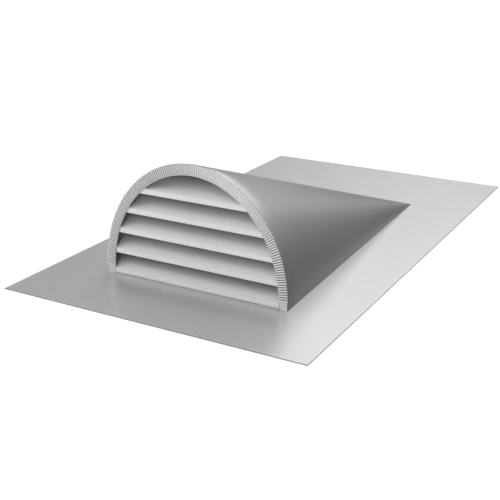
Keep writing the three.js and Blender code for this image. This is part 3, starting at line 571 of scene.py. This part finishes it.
def hood_rows(size, back_half, front_y, collar_y, back_y, segments):
    """Rows of points across the hood, from its front edge to just short of the back line."""
    base = PLATE_TOP + 0.05 * MM
    arch = [(size[0], base)] + [arch_point(size, pi * i / segments) for i in range(segments + 1)]
    arch.append((-size[0], base))
    rows = [[(x, front_y, z) for x, z in arch]]
    steps = 24
    for step in range(steps + 1):
        share = min(step / steps, 0.9985)
        y = collar_y + (back_y - collar_y) * share
        row = []
        for index, (x, z) in enumerate(arch):
            tip = back_half if index <= segments // 2 + 1 else -back_half
            level = max(base, z + (PLATE_TOP - z) * share)
            row.append((x + (tip - x) * share, y, level))
            if index == segments // 2 + 1:         # the crown goes to both back corners
                row.append((x - (back_half + x) * share, y, level))
        rows.append(row)
    rows[0].insert(segments // 2 + 1, rows[0][segments // 2 + 1])
    return rows


# --- swept arch sections

def sweep_arch(name, stations, section, low_z, angle):
    """Sweeps a closed section round an arch. Its shading breaks at edges sharper than the angle.

    stations: list of (inner point, outer point, pleat height). section: function of a pleat
    height that gives (share across the band, depth behind the face) points.
    """
    loops = [section_at(inner, outer, section(lift), FACE_Y) for inner, outer, lift in stations]
    loops = [[(x, y, max(low_z, z)) for x, y, z in loop] for loop in loops]
    return Shape().rings(loops).build(name, angle, weld=False)


def make_ring():
    """Ring of sheet pressed into narrow radial pleats: smooth inner rim, scalloped edge."""
    pleats = 148
    wave = [0.0, 0.15, 0.7, 1.0, 1.0, 1.0, 0.7, 0.15]
    height = 2.1 * MM
    foot_z = RING_LOW.z
    foot_angle = asin((foot_z - SPRING_Z) / (RING_OUTER[1] - SPRING_Z))
    steps = pleats * len(wave)
    stations = []
    for index in range(steps + 1):
        angle = pi * index / steps
        if foot_angle <= angle <= pi - foot_angle:
            lift = wave[index % len(wave)] * height
            stations.append((arch_point(RING_INNER, angle), arch_point(RING_OUTER, angle), lift))

    def section(lift):
        crest = 2.3 * MM - lift
        tip = 1.0 - 0.025 * (1 - lift / height)
        return [
            (0.0, 3.0 * MM), (0.0, 1.5 * MM), (0.01, 1.2 * MM), (0.02, 1.1 * MM), (0.03, 1.1 * MM),
            (0.05, 0.5 * (crest + 1.1 * MM)), (0.07, crest), (0.55, crest), (tip - 0.03, crest),
            (tip, crest + 0.3 * MM), (tip - 0.01, 2.8 * MM), (0.93, 3.0 * MM), (0.93, 4.6 * MM),
            (0.9, 4.6 * MM), (0.9, 3.0 * MM),
        ]

    piece = sweep_arch("crimped_ring", stations, section, foot_z, 62)
    size = len(section(0.0))
    inner_rim, outer_edge = 2, 8               # the pleats are the points of a section between these
    # painted shade in the pleat valleys: weakest 70 degrees round the arch, at the upper right, strongest on
    # the left and lower right
    least_shade, spread = 70, 30                  # degrees round the arch
    values = []
    for index in range(len(stations) * size):
        turn = 180 * index / (len(stations) * size)
        pleat_shade = 1.0 - 0.9 * exp(-((turn - least_shade) / spread) ** 2)
        part = index % size
        # painted shade on the skirt behind the scalloped edge, so that it does not catch the top light as a
        # bright line
        if part > outer_edge:
            values.append(0.35)
        elif part < inner_rim:
            values.append(1.0)
        else:
            values.append(1.0 - pleat_shade * (1.0 - stations[index // size][2] / height))
    darken_points(piece, values)
    place(piece, RING_METAL, "crimped_arch_ring")


def arch_stations(inner, outer, segments, low_z):
    stations = [((inner[0], low_z), (outer[0], low_z), 0.0)]
    for i in range(segments + 1):
        angle = pi * i / segments
        stations.append((arch_point(inner, angle), arch_point(outer, angle), 0.0))
    stations.append(((-inner[0], low_z), (-outer[0], low_z), 0.0))
    return stations


def make_frame():
    """Flat band behind the ring, and the wall round the louvres that its inner edge turns back into."""
    band = FRAME_OUTER[0] - FRAME_INNER[0]
    front = FRAME_LOW.y - FACE_Y
    back = FRAME_HIGH.y - FACE_Y
    wall = SHEET / band
    bend = 1.5 * MM

    def face(_):
        points = [(1.0, front), (1.0, front + SHEET), (wall + 0.02, front + SHEET),
                  (wall, front + bend), (0.0, front + bend)]
        return points + [(x / band, y) for x, y in arc((bend, front + bend), bend, 180, 270, 4)]

    def side(_):
        return [(0.0, front + bend), (wall, front + bend), (wall, back), (0.0, back)]

    stations = arch_stations(FRAME_INNER, FRAME_OUTER, 96, FRAME_LOW.z)
    # the wall gets its own material with painted shade, darker than the band
    for name, section, material in (("louvre_frame_band", face, TRIM_METAL),
                                    ("louvre_frame_wall", side, WALL_METAL)):
        piece = sweep_arch(name, stations, section, FRAME_LOW.z, 50)
        place(piece, material, "louvre_frame")


# --- louvres

def thick_line(line, wall):
    """A closed outline that runs along both sides of a line."""
    left, right = [], []
    for k, (x, y) in enumerate(line):
        ahead, behind = line[min(k + 1, len(line) - 1)], line[max(k - 1, 0)]
        along = Vector((ahead[0] - behind[0], ahead[1] - behind[1])).normalized()
        left.append((x - along.y * wall / 2, y + along.x * wall / 2))
        right.append((x + along.y * wall / 2, y - along.x * wall / 2))
    return left + right[::-1]


def blade_line():
    """Middle line of a blade's sheet as (depth, height) from the foot of its lip, with bends."""
    lip, rise, half = 14 * MM, 44 * MM, SHEET / 2
    radius = 2.5 * MM
    line = [(half, 0.8 * MM), (half, 3 * MM), (half, 8 * MM), (half, lip - radius)]
    line += arc((half + radius, lip - radius), radius, 171, 135, 4)    # from upright to 45 degrees
    y, z = line[-1]
    length = rise - (y - half)
    for step in range(1, 9):
        line.append((y + length * step / 8, z + length * step / 8))
    return line


def make_blade(index):
    low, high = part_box(f"louvre_blade_{index}")
    hem = [(SHEET * 1.1, 5.5 * MM), (SHEET * 2 - 0.1 * MM, 5.3 * MM), (SHEET * 2, 4.5 * MM),
           (SHEET * 2, 1.2 * MM)]
    hem += arc((SHEET, 1.2 * MM), SHEET, -30, -150, 4)     # the rolled foot of the lip
    sheet = thick_line(blade_line(), SHEET)[1:-3]      # without the ends that the rolled foot replaces
    outline = sheet + [(SHEET, 5.8 * MM)] + hem + [(0.0, 1.2 * MM)]
    columns = 40
    loops = []
    for c in range(columns + 1):
        share = -1 + 2 * c / columns
        loop = []
        for y, z in outline:
            world_z = low.z + max(0.0, z)
            width = arch_half_width(RING_INNER, min(world_z, high.z))
            loop.append((share * width, low.y + y, world_z))
        loops.append(loop)
    piece = Shape().rings(loops).build(f"louvre_{index}", 50, weld=False)
    place(piece, BLADE_METAL, f"louvre_blade_{index}")


def arch_half_width(size, z):
    half, crown = size
    if z <= SPRING_Z:
        return half
    return half * sqrt(max(0.0, 1 - ((z - SPRING_Z) / (crown - SPRING_Z)) ** 2))


# --- bird screen

def make_screen():
    """Welded wire mesh in a flat rim: upright wires in front, level wires behind."""
    low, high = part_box("bird_screen")
    pitch, wire = 12.7 * MM, 0.5 * MM
    middle = (low.y + high.y) / 2
    half = high.x
    outer = (half, high.z)
    inner = (half - 6 * MM, high.z - 6 * MM)
    shape = Shape()
    stations = arch_stations(inner, outer, 72, low.z)
    rim = ((0.0, -0.6), (0.12, -0.9), (0.88, -0.9), (1.0, -0.6),
           (1.0, 0.6), (0.88, 0.9), (0.12, 0.9), (0.0, 0.6))
    shape.rings([section_at(near, far, rim, middle, MM) for near, far, _ in stations])
    bottom = low.z
    foot = ((-0.6, 0), (-0.9, 0.6), (-0.9, 5.4), (-0.6, 6), (0.6, 6), (0.9, 5.4), (0.9, 0.6), (0.6, 0))
    shape.rings([[(x, middle + y * MM, bottom + z * MM) for y, z in foot]
                 for x in (-half + 1 * MM, half - 1 * MM)])
    limit = (half - 2 * MM, high.z - 2 * MM)
    count = int(half / pitch)
    for k in range(-count, count + 1):
        x = k * pitch
        top = SPRING_Z + (limit[1] - SPRING_Z) * sqrt(max(0.0, 1 - (x / limit[0]) ** 2))
        shape.tube([Vector((x, middle - wire * 0.9, z)) for z in (bottom + 1 * MM, top)], wire, 8)
    z = bottom + pitch
    while z < limit[1] - 5 * MM:
        width = arch_half_width(limit, z)
        shape.tube([Vector((x, middle + wire * 0.9, z)) for x in (-width, width)], wire, 8)
        z += pitch
    place(shape.build("bird_screen_mesh"), SCREEN_WIRE, "bird_screen")


# --- throat, struts and motor plate

FAN_Y = sum(p.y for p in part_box("motor_can")) / 2


def spun(name, profile, segments):
    """A piece turned about the fan's axis."""
    return Shape().turned(profile, 0, FAN_Y, segments).build(name)


def make_venturi():
    """Spun ring: flange, straight wall with two beads, and a top that curls outwards."""
    low, high = heights("venturi_ring")
    wall, inner = 1.2, 150.0
    flange = reach("venturi_ring")
    curl = 6.5
    line = [(flange, low + wall / 2)]
    line += arc((inner + 3.6, low + wall / 2 + 3), 3, 270, 180, 6)
    for bead in (low + 22, low + 40):
        line += [(inner + 0.6 + 1.1 * sin(pi * k / 6), bead + 5 * k / 6) for k in range(7)]
    line += arc((inner + 0.6 + curl, high - wall / 2 - curl), curl, 180, 90, 9)
    line += [(inner + 0.6 + curl + 3.0, high - wall / 2 - 0.25)]
    place(spun("venturi_spun", thick_line(line, wall), 144), SHEET_METAL, "venturi_ring")


def make_rivets():
    """Blind rivets: a domed head with the dimple of the pulled pin."""
    for node, x, y, low, top in each("flange_rivet", 4):
        seat = top - 1.8
        profile = [(0, low), (1.9, low), (1.9, seat), (3.6, seat), (3.6, seat + 0.3), (3.1, seat + 1.1),
                   (2.2, seat + 1.6), (1.3, top), (0.9, top - 0.1), (0.8, top - 0.9), (0, top - 0.9)]
        place(Shape().turned(profile, x, y, 32).build(node.replace("flange", "pop")), ALUMINIUM, node)


def make_strut_bolts():
    for node, x, y, bottom, top in each("strut_bolt", 4):
        seat = top - 3
        nut_top = heights("motor_strut_1")[1] - 3.3
        shape = Shape()
        shape.head(x, y, seat, top, 4.6, 2.4)
        shape.thread(x, y, bottom, seat + 0.5, 2.3)
        shape.prism(x, y, nut_top - 4, nut_top, 4.9)
        washer = [(2.5, nut_top - 0.02), (5.4, nut_top - 0.02), (5.4, nut_top + 0.25), (2.5, nut_top + 0.25)]
        shape.turned(washer, x, y, 32)
        place(shape.build(node + "_cut"), FASTENER, node)


def make_motor_screws():
    """Screws that point up: the head is the lower end."""
    head = 2.6
    for node, x, y, bottom, top in each("motor_screw", 4):
        shape = Shape()
        shape.head(0, 0, 0, head, 4.0, 2.1)
        shape.thread(0, 0, bottom + 2.1 - top, 0.5, 1.9)
        matrix = turned_to((x, y, (bottom + head) * MM), pi, "X")
        place(shape.build(node + "_cut", matrix=matrix), FASTENER, node)


# --- motor

CAN_LOW, CAN_HIGH = heights("motor_can")
CAN_RADIUS = reach("motor_can")


def make_motor_can():
    """Deep-drawn can with a rolled groove near each end and a seat for the lower bearing."""
    low, high, out = CAN_LOW, CAN_HIGH, CAN_RADIUS
    wall, floor, seat = 2.0, CAN_LOW + 3, 11.25
    profile = [(7, low), (out - 4, low)] + arc((out - 4, low + 4), 4, -90, 0, 8)
    for groove in (low + 9, high - 9):
        profile += [(out - depth, groove + up) for depth, up in
                    ((0, -1.6), (0.3, -1.1), (0.8, 0), (0.3, 1.1), (0, 1.6))]
    profile += [(out, high - 0.4), (out - 0.4, high), (out - wall, high), (out - wall, floor + 3)]
    profile += arc((out - wall - 3, floor + 3), 3, -15, -90, 5)
    profile += [(seat + 2.5, floor), (seat + 2.5, floor + 6.6), (seat + 2.1, floor + 7), (seat, floor + 7),
                (seat, floor), (7, floor)]
    place(spun("motor_can_drawn", profile, 96), MOTOR_PAINT, "motor_can")
    grommet_y = FAN_Y + out * MM
    profile = [(3.1, -1.2), (4.9, -1.2), (5.2, -0.6), (5.2, 1.4), (4.6, 2.0), (3.1, 2.2)]
    lead_z = CAN_LOW + 8.5
    matrix = turned_to((0, grommet_y, lead_z * MM), -pi / 2, "X")
    grommet = Shape().turned(profile, 0, 0, 40).build("lead_grommet", matrix=matrix)
    place(grommet, GLAND_NYLON)


def make_motor_cap():
    """Domed cap with eight ribs and a seat for the upper bearing."""
    base = CAN_HIGH + 0.3
    out = CAN_RADIUS
    profile = [(0, base + 9), (0, base + 6), (11.25, base + 6), (11.25, base - 4), (13.75, base - 4),
               (13.75, base + 3), (out - 5, base + 1), (out - 2.3, base - 3), (out - 2.3, base), (out, base),
               (out, base + 1.6)]
    profile += [(out - 0.6, base + 2.2), (out - 5, base + 5.6), (out - 9, base + 6.6), (24, base + 7.4),
                (20, base + 8.6), (18.6, base + 9), (8, base + 9), (7, base + 8.6)]
    shape = Shape().turned(profile, 0, FAN_Y, 96)
    for index in range(8):
        turn = Matrix.Rotation(radians(45 * index), 3, "Z")
        loops = []
        for radius, top in ((19.5, base + 8.7), (24, base + 8.5), (34, base + 7.5), (38.5, base + 6.2)):
            loop = []
            for side, height in ((-1.5, -1.5), (-1.4, -0.3), (-0.8, 0.3),
                                 (0.8, 0.3), (1.4, -0.3), (1.5, -1.5)):
                point = turn @ Vector((radius * MM, side * MM, 0))
                loop.append((point.x, point.y + FAN_Y, (top + height) * MM))
            loops.append(loop)
        shape.rings(loops)
    place(shape.build("motor_end_cap_cast"), MOTOR_PAINT, "motor_end_cap")


def make_windings():
    """One coil of enamelled wire round each tooth of the stator."""
    low, high = heights("stator_core")
    for index in range(6):
        shape = Shape()
        for layer, (radius, swing) in enumerate(((31.5, 25.2), (34.6, 25.6))):
            bulge = 3.2 + 0.6 * layer
            path = []
            for k in range(32):
                turn = 2 * pi * k / 32
                across = copysign(min(1.0, abs(cos(turn)) * 1.35), cos(turn)) * swing
                upward = copysign(min(1.0, abs(sin(turn)) * 1.35), sin(turn))
                height = (low + high) / 2 + upward * ((high - low) / 2 + bulge)
                angle = radians(index * 60 + across)
                path.append(Vector((radius * MM * cos(angle), FAN_Y + radius * MM * sin(angle),
                                    height * MM)))
            shape.rings(ring_loops(path, 1.5 * MM, 10), closed=True)
        place(shape.build(f"stator_winding_{index + 1}", 60), WINDING)


def ring_loops(path, radius, sides):
    """Sections of a tube that closes on itself, set by the path and the upright axis of the motor."""
    loops = []
    count = len(path)
    for k, point in enumerate(path):
        ahead = (path[(k + 1) % count] - path[k - 1]).normalized()
        out = Vector((point.x, point.y - FAN_Y, 0)).normalized()
        out = (out - ahead * out.dot(ahead)).normalized()
        other = ahead.cross(out)
        loops.append(circle_of(point, out, other, radius, sides))
    return loops


def make_bearings():
    """Shielded ball bearings: two races with a sunk shield between them."""
    for node in ("bearing_lower", "bearing_upper"):
        low, high = heights(node)
        inner, outer = 4.2, reach(node)
        top = [(outer, high - 0.4), (outer - 0.4, high), (outer - 1.6, high), (outer - 1.7, high - 0.5),
               (inner + 2.0, high - 0.5), (inner + 1.9, high), (inner + 0.3, high), (inner, high - 0.3)]
        bottom = [(radius, low + high - z) for radius, z in top[::-1]]
        place(spun(node + "_races", top + bottom, 64), FASTENER, node)


# --- rotor

def make_shaft():
    low, high = heights("motor_shaft")
    profile = [(0, low), (3.4, low), (4, low + 0.6), (4, high - 0.6), (3.4, high), (0, high)]
    place(spun("motor_shaft_ground", profile, 48), FASTENER, "motor_shaft", body="fan")


def make_magnet():
    low, high = heights("rotor_magnet")
    out = reach("rotor_magnet")
    profile = [(4.3, low), (out - 0.8, low), (out, low + 0.8), (out, high - 0.8), (out - 0.8, high),
               (10, high), (9, high - 1.2), (4.3, high - 1.2)]
    place(spun("rotor_magnet_ring", profile, 72), FERRITE, "rotor_magnet", body="fan")


def make_hub():
    """Pressed cup with a boss, a rolled lip and a turned step."""
    low, high = heights("fan_hub")
    out = reach("fan_hub")
    profile = [(4.3, low), (13, low), (14, low + 0.2)] + arc((out - 8, low + 8), 8, -75, 0, 8)
    profile += [(out, high - 1.6), (out + 0.2, high - 1.0), (out + 0.2, high - 0.4), (out - 0.2, high),
                (out - 2.5, high), (out - 2.5, low + 9), (out - 5, low + 6.6), (11, low + 6), (10, low + 7),
                (10, high - 4.6), (9.4, high - 4), (4.3, high - 4)]
    place(spun("fan_hub_pressed", profile, 96), ALUMINIUM, "fan_hub", body="fan")


def blade_section(share):
    """Chord (mm), pitch (degrees) and sweep (degrees) of a fan blade at that share of its length."""
    chord = 33 + 47 * sin(min(1.0, share / 0.75) * pi / 2)
    if share > 0.88:
        chord *= 0.72 + 0.28 * sqrt(max(0.0, 1 - ((share - 0.88) / 0.12) ** 2))
    return chord, 34 - 12 * share, 7 * share ** 2


def make_fan_blades():
    """Twisted, cambered sheet blades with rounded edges."""
    low, high = heights("fan_blade_1")
    middle = (low + high) / 2
    root, tip = reach("fan_hub") - 0.6, 142.6
    across, along = 14, 26
    for index in range(5):
        loops = []
        for s in range(along + 1):
            share = s / along
            chord, pitch, sweep = blade_section(share)
            radius = root + (tip - root) * share
            pitch = radians(pitch)
            camber = 0.075 * chord
            upper, lower = [], []
            for k in range(across + 1):
                u = -1 + 2 * k / across
                half = 0.95 * sqrt(max(0.0, 1 - abs(u) ** 12)) + 0.02
                rise = camber * (1 - u * u) - camber * 0.6
                for store, side in ((upper, 1), (lower, -1)):
                    t = u * chord / 2
                    h = rise + side * half
                    tangent = t * cos(pitch) - h * sin(pitch)
                    height = t * sin(pitch) + h * cos(pitch)
                    turn = radians(index * 72 + sweep) + tangent / radius
                    store.append((radius * MM * cos(turn), FAN_Y + radius * MM * sin(turn),
                                  (middle + height) * MM))
            loops.append(upper + lower[::-1])
        piece = Shape().rings(loops).build(f"fan_blade_{index + 1}_formed", 40)
        place(piece, ALUMINIUM, f"fan_blade_{index + 1}", body="fan")


def make_hub_nut():
    low, high = heights("hub_nut")
    shape = Shape()
    washer = [(4.3, high - 1.2), (8.8, high - 1.2), (9, high - 1.0), (9, high - 0.2), (8.8, high),
              (4.3, high)]
    shape.turned(washer, 0, FAN_Y, 48)
    shape.prism(0, FAN_Y, low + 1, high - 1.3, 7, bore=4.3)
    shape.turned([(4.3, low), (5.2, low), (5.6, low + 0.4), (5.6, low + 1.2), (4.3, low + 1.2)], 0, FAN_Y, 48)
    place(shape.build("hub_nut_locking"), FASTENER, "hub_nut", body="fan")


# --- electrical

BOX_LOW, BOX_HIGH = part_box("junction_box")
LEAD_ENTRY_Z = sum(p.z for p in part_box("motor_lead_gland")) / 2
PANEL_ENTRY_Z = sum(p.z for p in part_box("panel_lead_gland")) / 2


def make_lid_screws():
    for node, x, y, bottom, top in each("lid_screw", 2):
        shape = Shape()
        shape.head(x, y, top - 2.4, top, 3.8, 1.9)
        shape.thread(x, y, bottom, top - 2.0, 1.7, 1.2)
        place(shape.build(node + "_cut"), FASTENER, node)


def make_gland(node, bore, matrix):
    """Cable gland along its own Z: thread, six-sided collar, ribbed dome nut and a seal."""
    shape = Shape()
    shape.turned([(bore, -7.4), (5.5, -7.4)] + [
        (5.9 if k % 2 else 5.45, -7 + 0.6 * k) for k in range(12)] + [(5.6, 0.3), (bore, 0.3)], 0, 0, 48)
    shape.prism(0, 0, 0.3, 5.3, 9, bore=bore)
    loops = []
    count = 72
    for radius, z, rib in ((bore, 4.0, 0), (6.8, 4.0, 0), (7.2, 4.4, 0.4), (7.2, 11, 0.4), (6.6, 13.4, 0.25),
                           (5.4, 15.2, 0), (4.6, 16, 0), (bore + 0.5, 16, 0), (bore, 15.4, 0)):
        ribbed = [radius + rib * (1 if i % 6 < 4 else 0) for i in range(count)]
        loops.append([shape.at(0, 0, ribbed[i], i, count, z) for i in range(count)])
    shape.rings(loops, closed=True)
    place(shape.build(node + "_moulded", matrix=matrix), GLAND_NYLON, node)


def make_glands():
    wall_y, wall_x = BOX_LOW.y, BOX_HIGH.x
    box_y = (BOX_LOW.y + BOX_HIGH.y) / 2
    make_gland("motor_lead_gland", 3.1, turned_to((0, wall_y, LEAD_ENTRY_Z), pi / 2, "X"))
    make_gland("panel_lead_gland", 3.6, turned_to((wall_x, box_y, PANEL_ENTRY_Z), pi / 2, "Y"))


def make_thermal_switch():
    """Snap-disc switch: a flanged metal cap outside, a round body and two tabs inside the box."""
    low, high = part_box("thermal_switch")
    x, z = (low.x + high.x) / 2, (low.z + high.z) / 2
    front = low.y
    shape = Shape()
    shape.turned([(0, 0), (7.4, 0), (8.2, 0.5), (8.4, 1.2), (8.4, 2.6), (9.5, 2.8), (9.5, 4.0), (6.9, 4.2),
                  (6.9, 18.2), (6.5, 18.8), (0, 18.8)], 0, 0, 56)
    tab = ((-0.4, -2.4), (0.4, -2.4), (0.4, 2.4), (-0.4, 2.4))
    for side in (-3.4, 3.4):
        shape.rings([[((side + a) * MM, b * MM, depth * MM) for a, b in tab] for depth in (18.2, 18.8)])
    matrix = turned_to((x, front, z), -pi / 2, "X")
    place(shape.build("thermal_switch_disc", matrix=matrix), FASTENER, "thermal_switch")


def make_motor_lead():
    """The lead: out of the can, along the rear strut, over the rim, down into the gland."""
    exit_z = CAN_LOW + 8.5
    strut_z = heights("motor_strut_2")[1] + 0.3 + 2.6 + 0.7
    entry_z = LEAD_ENTRY_Z / MM
    fan_y = FAN_Y / MM
    box_y = BOX_LOW.y / MM
    route = [
        (fan_y + 40, exit_z), (fan_y + 52, exit_z), (fan_y + 68, exit_z - 1.5), (fan_y + 84, strut_z + 4),
        (fan_y + 100, strut_z), (fan_y + 125, strut_z), (fan_y + 150, strut_z), (fan_y + 161, strut_z),
        (fan_y + 170, strut_z - 2), (fan_y + 177, strut_z - 8), (fan_y + 180, strut_z - 18),
        (fan_y + 183, entry_z + 19), (fan_y + 188, entry_z + 9), (fan_y + 197, entry_z + 2),
        (fan_y + 208, entry_z), (box_y - 3, entry_z), (box_y + 11.5, entry_z),
    ]
    path = smooth_path([(0, y * MM, z * MM) for y, z in route], 8)
    piece = Shape().tube(path, 2.6 * MM, 24).build("motor_lead_jacket", 60)
    place(piece, CABLE_JACKET, "motor_lead")
    for side, material in ((-1, WIRE_RED), (1, WIRE_BLACK)):
        start = Vector((side * 1.1 * MM, (box_y + 10) * MM, LEAD_ENTRY_Z))
        end = Vector((side * 12 * MM, (box_y + 30) * MM, LEAD_ENTRY_Z - 10 * MM))
        middle = start.lerp(end, 0.5) + Vector((0, 0, 5 * MM))
        core = smooth_path([start, start + Vector((0, 4 * MM, 0)), middle, end], 8)
        shape = Shape().tube(core, 0.9 * MM, 12)
        nut = Matrix.Translation(end) @ (core[-1] - core[-2]).to_track_quat("Z", "Y").to_matrix().to_4x4()
        name = "lead_core_left" if side < 0 else "lead_core_right"
        place(shape.build(name, 60), material)
        profile = [(0, -3), (3.2, -3), (3.4, -2), (3.0, 5), (2.2, 9), (1.6, 10), (0, 10)]
        cap = Shape().turned(profile, 0, 0, 24)
        place(cap.build(name.replace("core", "wire_nut"), matrix=nut), BOX_PLASTIC)


# --- stage, light and camera

def make_floor():
    """A white floor that only the camera sees, so nothing casts a shadow on it or mirrors it."""
    size = 14.0
    corners = [(-size, -size, 0), (size, -size, 0), (size, size, 0), (-size, size, 0)]
    floor = add_mesh("floor", corners, [(0, 1, 2, 3)])
    floor.location.z = PLATE_LOW.z - 0.0005
    n = Nodes("pale_floor")
    n.feed("Base Color", n.mix(n.noise(3.0), grey(0.1), grey(0.11)))
    n.feed("Roughness", 0.9)
    n.feed("Specular IOR Level", 0.1)
    n.feed("Emission Color", grey(1.0))
    n.feed("Emission Strength", 1.0)
    n.material.cycles.emission_sampling = "NONE"
    floor.data.materials.append(n.material)
    floor.visible_glossy = False
    floor.visible_diffuse = False
    floor.visible_shadow = False


BACKDROP = 1.25        # makes white of the world's own grey, 0.8

# Soft lights far away: azimuth from +Y towards +X, elevation, tightness and strength. The
# strengths and directions come from a least-squares fit of the object's tones.
STUDIO_LIGHTS = [
    (120, 5, 14, 0.298), (72, 25, 14, 1.75), (264, 25, 14, 1.15), (60, 46, 14, 0.626),
    (120, 46, 14, 1.582), (240, 46, 14, 1.139), (270, 46, 14, 0.124), (30, 68, 14, 0.468),
    (150, 68, 14, 0.897), (210, 68, 14, 0.922), (330, 68, 14, 1.599), (180, -18, 8, 2.019),
    (240, -18, 8, 2.048), (-30, -20, 50, 2.29), (0, -20, 50, 1.798), (-45, -7, 50, 1.028),
    (15, 6, 50, 0.129), (15, 19, 50, 0.135), (45, 19, 50, 0.233), (-30, 32, 50, 0.402),
    (-15, 32, 50, 2.778), (15, 32, 50, 2.111),
]


def make_world():
    """Studio light: soft lights on a dark surround, and a plain white backdrop for the camera."""
    world = bpy.data.worlds.new("studio")
    bpy.context.scene.world = world
    world.use_nodes = True
    tree = world.node_tree
    tree.nodes.clear()
    towards = tree.nodes.new("ShaderNodeTexCoord").outputs["Generated"]

    def step(operation, *values, kind="ShaderNodeMath"):
        """One step of a sum over the lights: a maths node fed with numbers or other outputs."""
        made = tree.nodes.new(kind)
        made.operation = operation
        for value, socket in zip(values, made.inputs):
            if isinstance(value, bpy.types.NodeSocket):
                tree.links.new(value, socket)
            else:
                socket.default_value = value
        return made.outputs

    total = None
    for azimuth, elevation, tightness, strength in STUDIO_LIGHTS:
        turn, lift = radians(azimuth), radians(elevation)
        light = (sin(turn) * cos(lift), cos(turn) * cos(lift), sin(lift))
        facing = step("DOT_PRODUCT", towards, light, kind="ShaderNodeVectorMath")["Value"]
        falloff = step("MULTIPLY_ADD", facing, tightness, -tightness + log(strength))[0]
        lobe = step("EXPONENT", falloff)[0]
        total = step("ADD", total, lobe)[0] if total else lobe
    seen = tree.nodes.new("ShaderNodeMix")
    tree.links.new(tree.nodes.new("ShaderNodeLightPath").outputs["Is Camera Ray"], seen.inputs[0])
    tree.links.new(total, seen.inputs[2])
    seen.inputs[3].default_value = BACKDROP
    background = tree.nodes.new("ShaderNodeBackground")
    tree.links.new(seen.outputs[0], background.inputs["Strength"])
    tree.links.new(background.outputs[0], tree.nodes.new("ShaderNodeOutputWorld").inputs[0])


CAMERA_TURN = (-28.885, 20.43, 0.295)      # yaw from +Y, pitch below the level and roll, in degrees
CAMERA_PLACE = Vector((1.0397, -2.1089, 0.8150 + PLATE_TOP))
SENSOR, LENS = 36, 66.52764                # mm


def make_camera():
    data = bpy.data.cameras.new("camera")
    camera = bpy.data.objects.new("camera", data)
    bpy.context.scene.collection.objects.link(camera)
    yaw, pitch, roll = (radians(angle) for angle in CAMERA_TURN)
    forward = Vector((sin(yaw) * cos(pitch), cos(yaw) * cos(pitch), -sin(pitch)))
    right = Vector((cos(yaw), -sin(yaw), 0))
    up = right.cross(forward)
    side = right * cos(roll) + up * sin(roll)
    top = up * cos(roll) - right * sin(roll)
    matrix = Matrix((side, top, -forward)).transposed().to_4x4()
    matrix.translation = CAMERA_PLACE
    camera.matrix_world = matrix
    data.sensor_width = SENSOR
    data.lens = LENS
    data.clip_end = 60
    bpy.context.scene.camera = camera


make_camera()
make_flashing()
make_hood()
make_ring()
make_frame()
for blade in range(1, 6):
    make_blade(blade)
for trim in ("sill_angle", "hood_angle_left", "hood_angle_right"):
    rounded(trim, 0.4 * MM, TRIM_METAL)
make_screen()
make_venturi()
make_rivets()
for strut in range(1, 5):
    rounded(f"motor_strut_{strut}", 0.6 * MM, ZINC_PLATE)
rounded("motor_plate", 0.5 * MM, ZINC_PLATE)
make_strut_bolts()
make_motor_screws()
make_motor_can()
make_motor_cap()
rounded("stator_core", 0.3 * MM, LAMINATION)
make_windings()
make_bearings()
make_shaft()
make_magnet()
make_hub()
make_fan_blades()
make_hub_nut()
rounded("junction_box", 0.6 * MM, BOX_PLASTIC)
rounded("junction_box_lid", 1.0 * MM, BOX_PLASTIC, 4)
make_lid_screws()
make_glands()
make_thermal_switch()
make_motor_lead()
for clip in (1, 2):
    rounded(f"lead_clip_{clip}", 0.3 * MM, GLAND_NYLON)
make_floor()
make_world()
bpy.context.scene.view_settings.view_transform = "Standard"
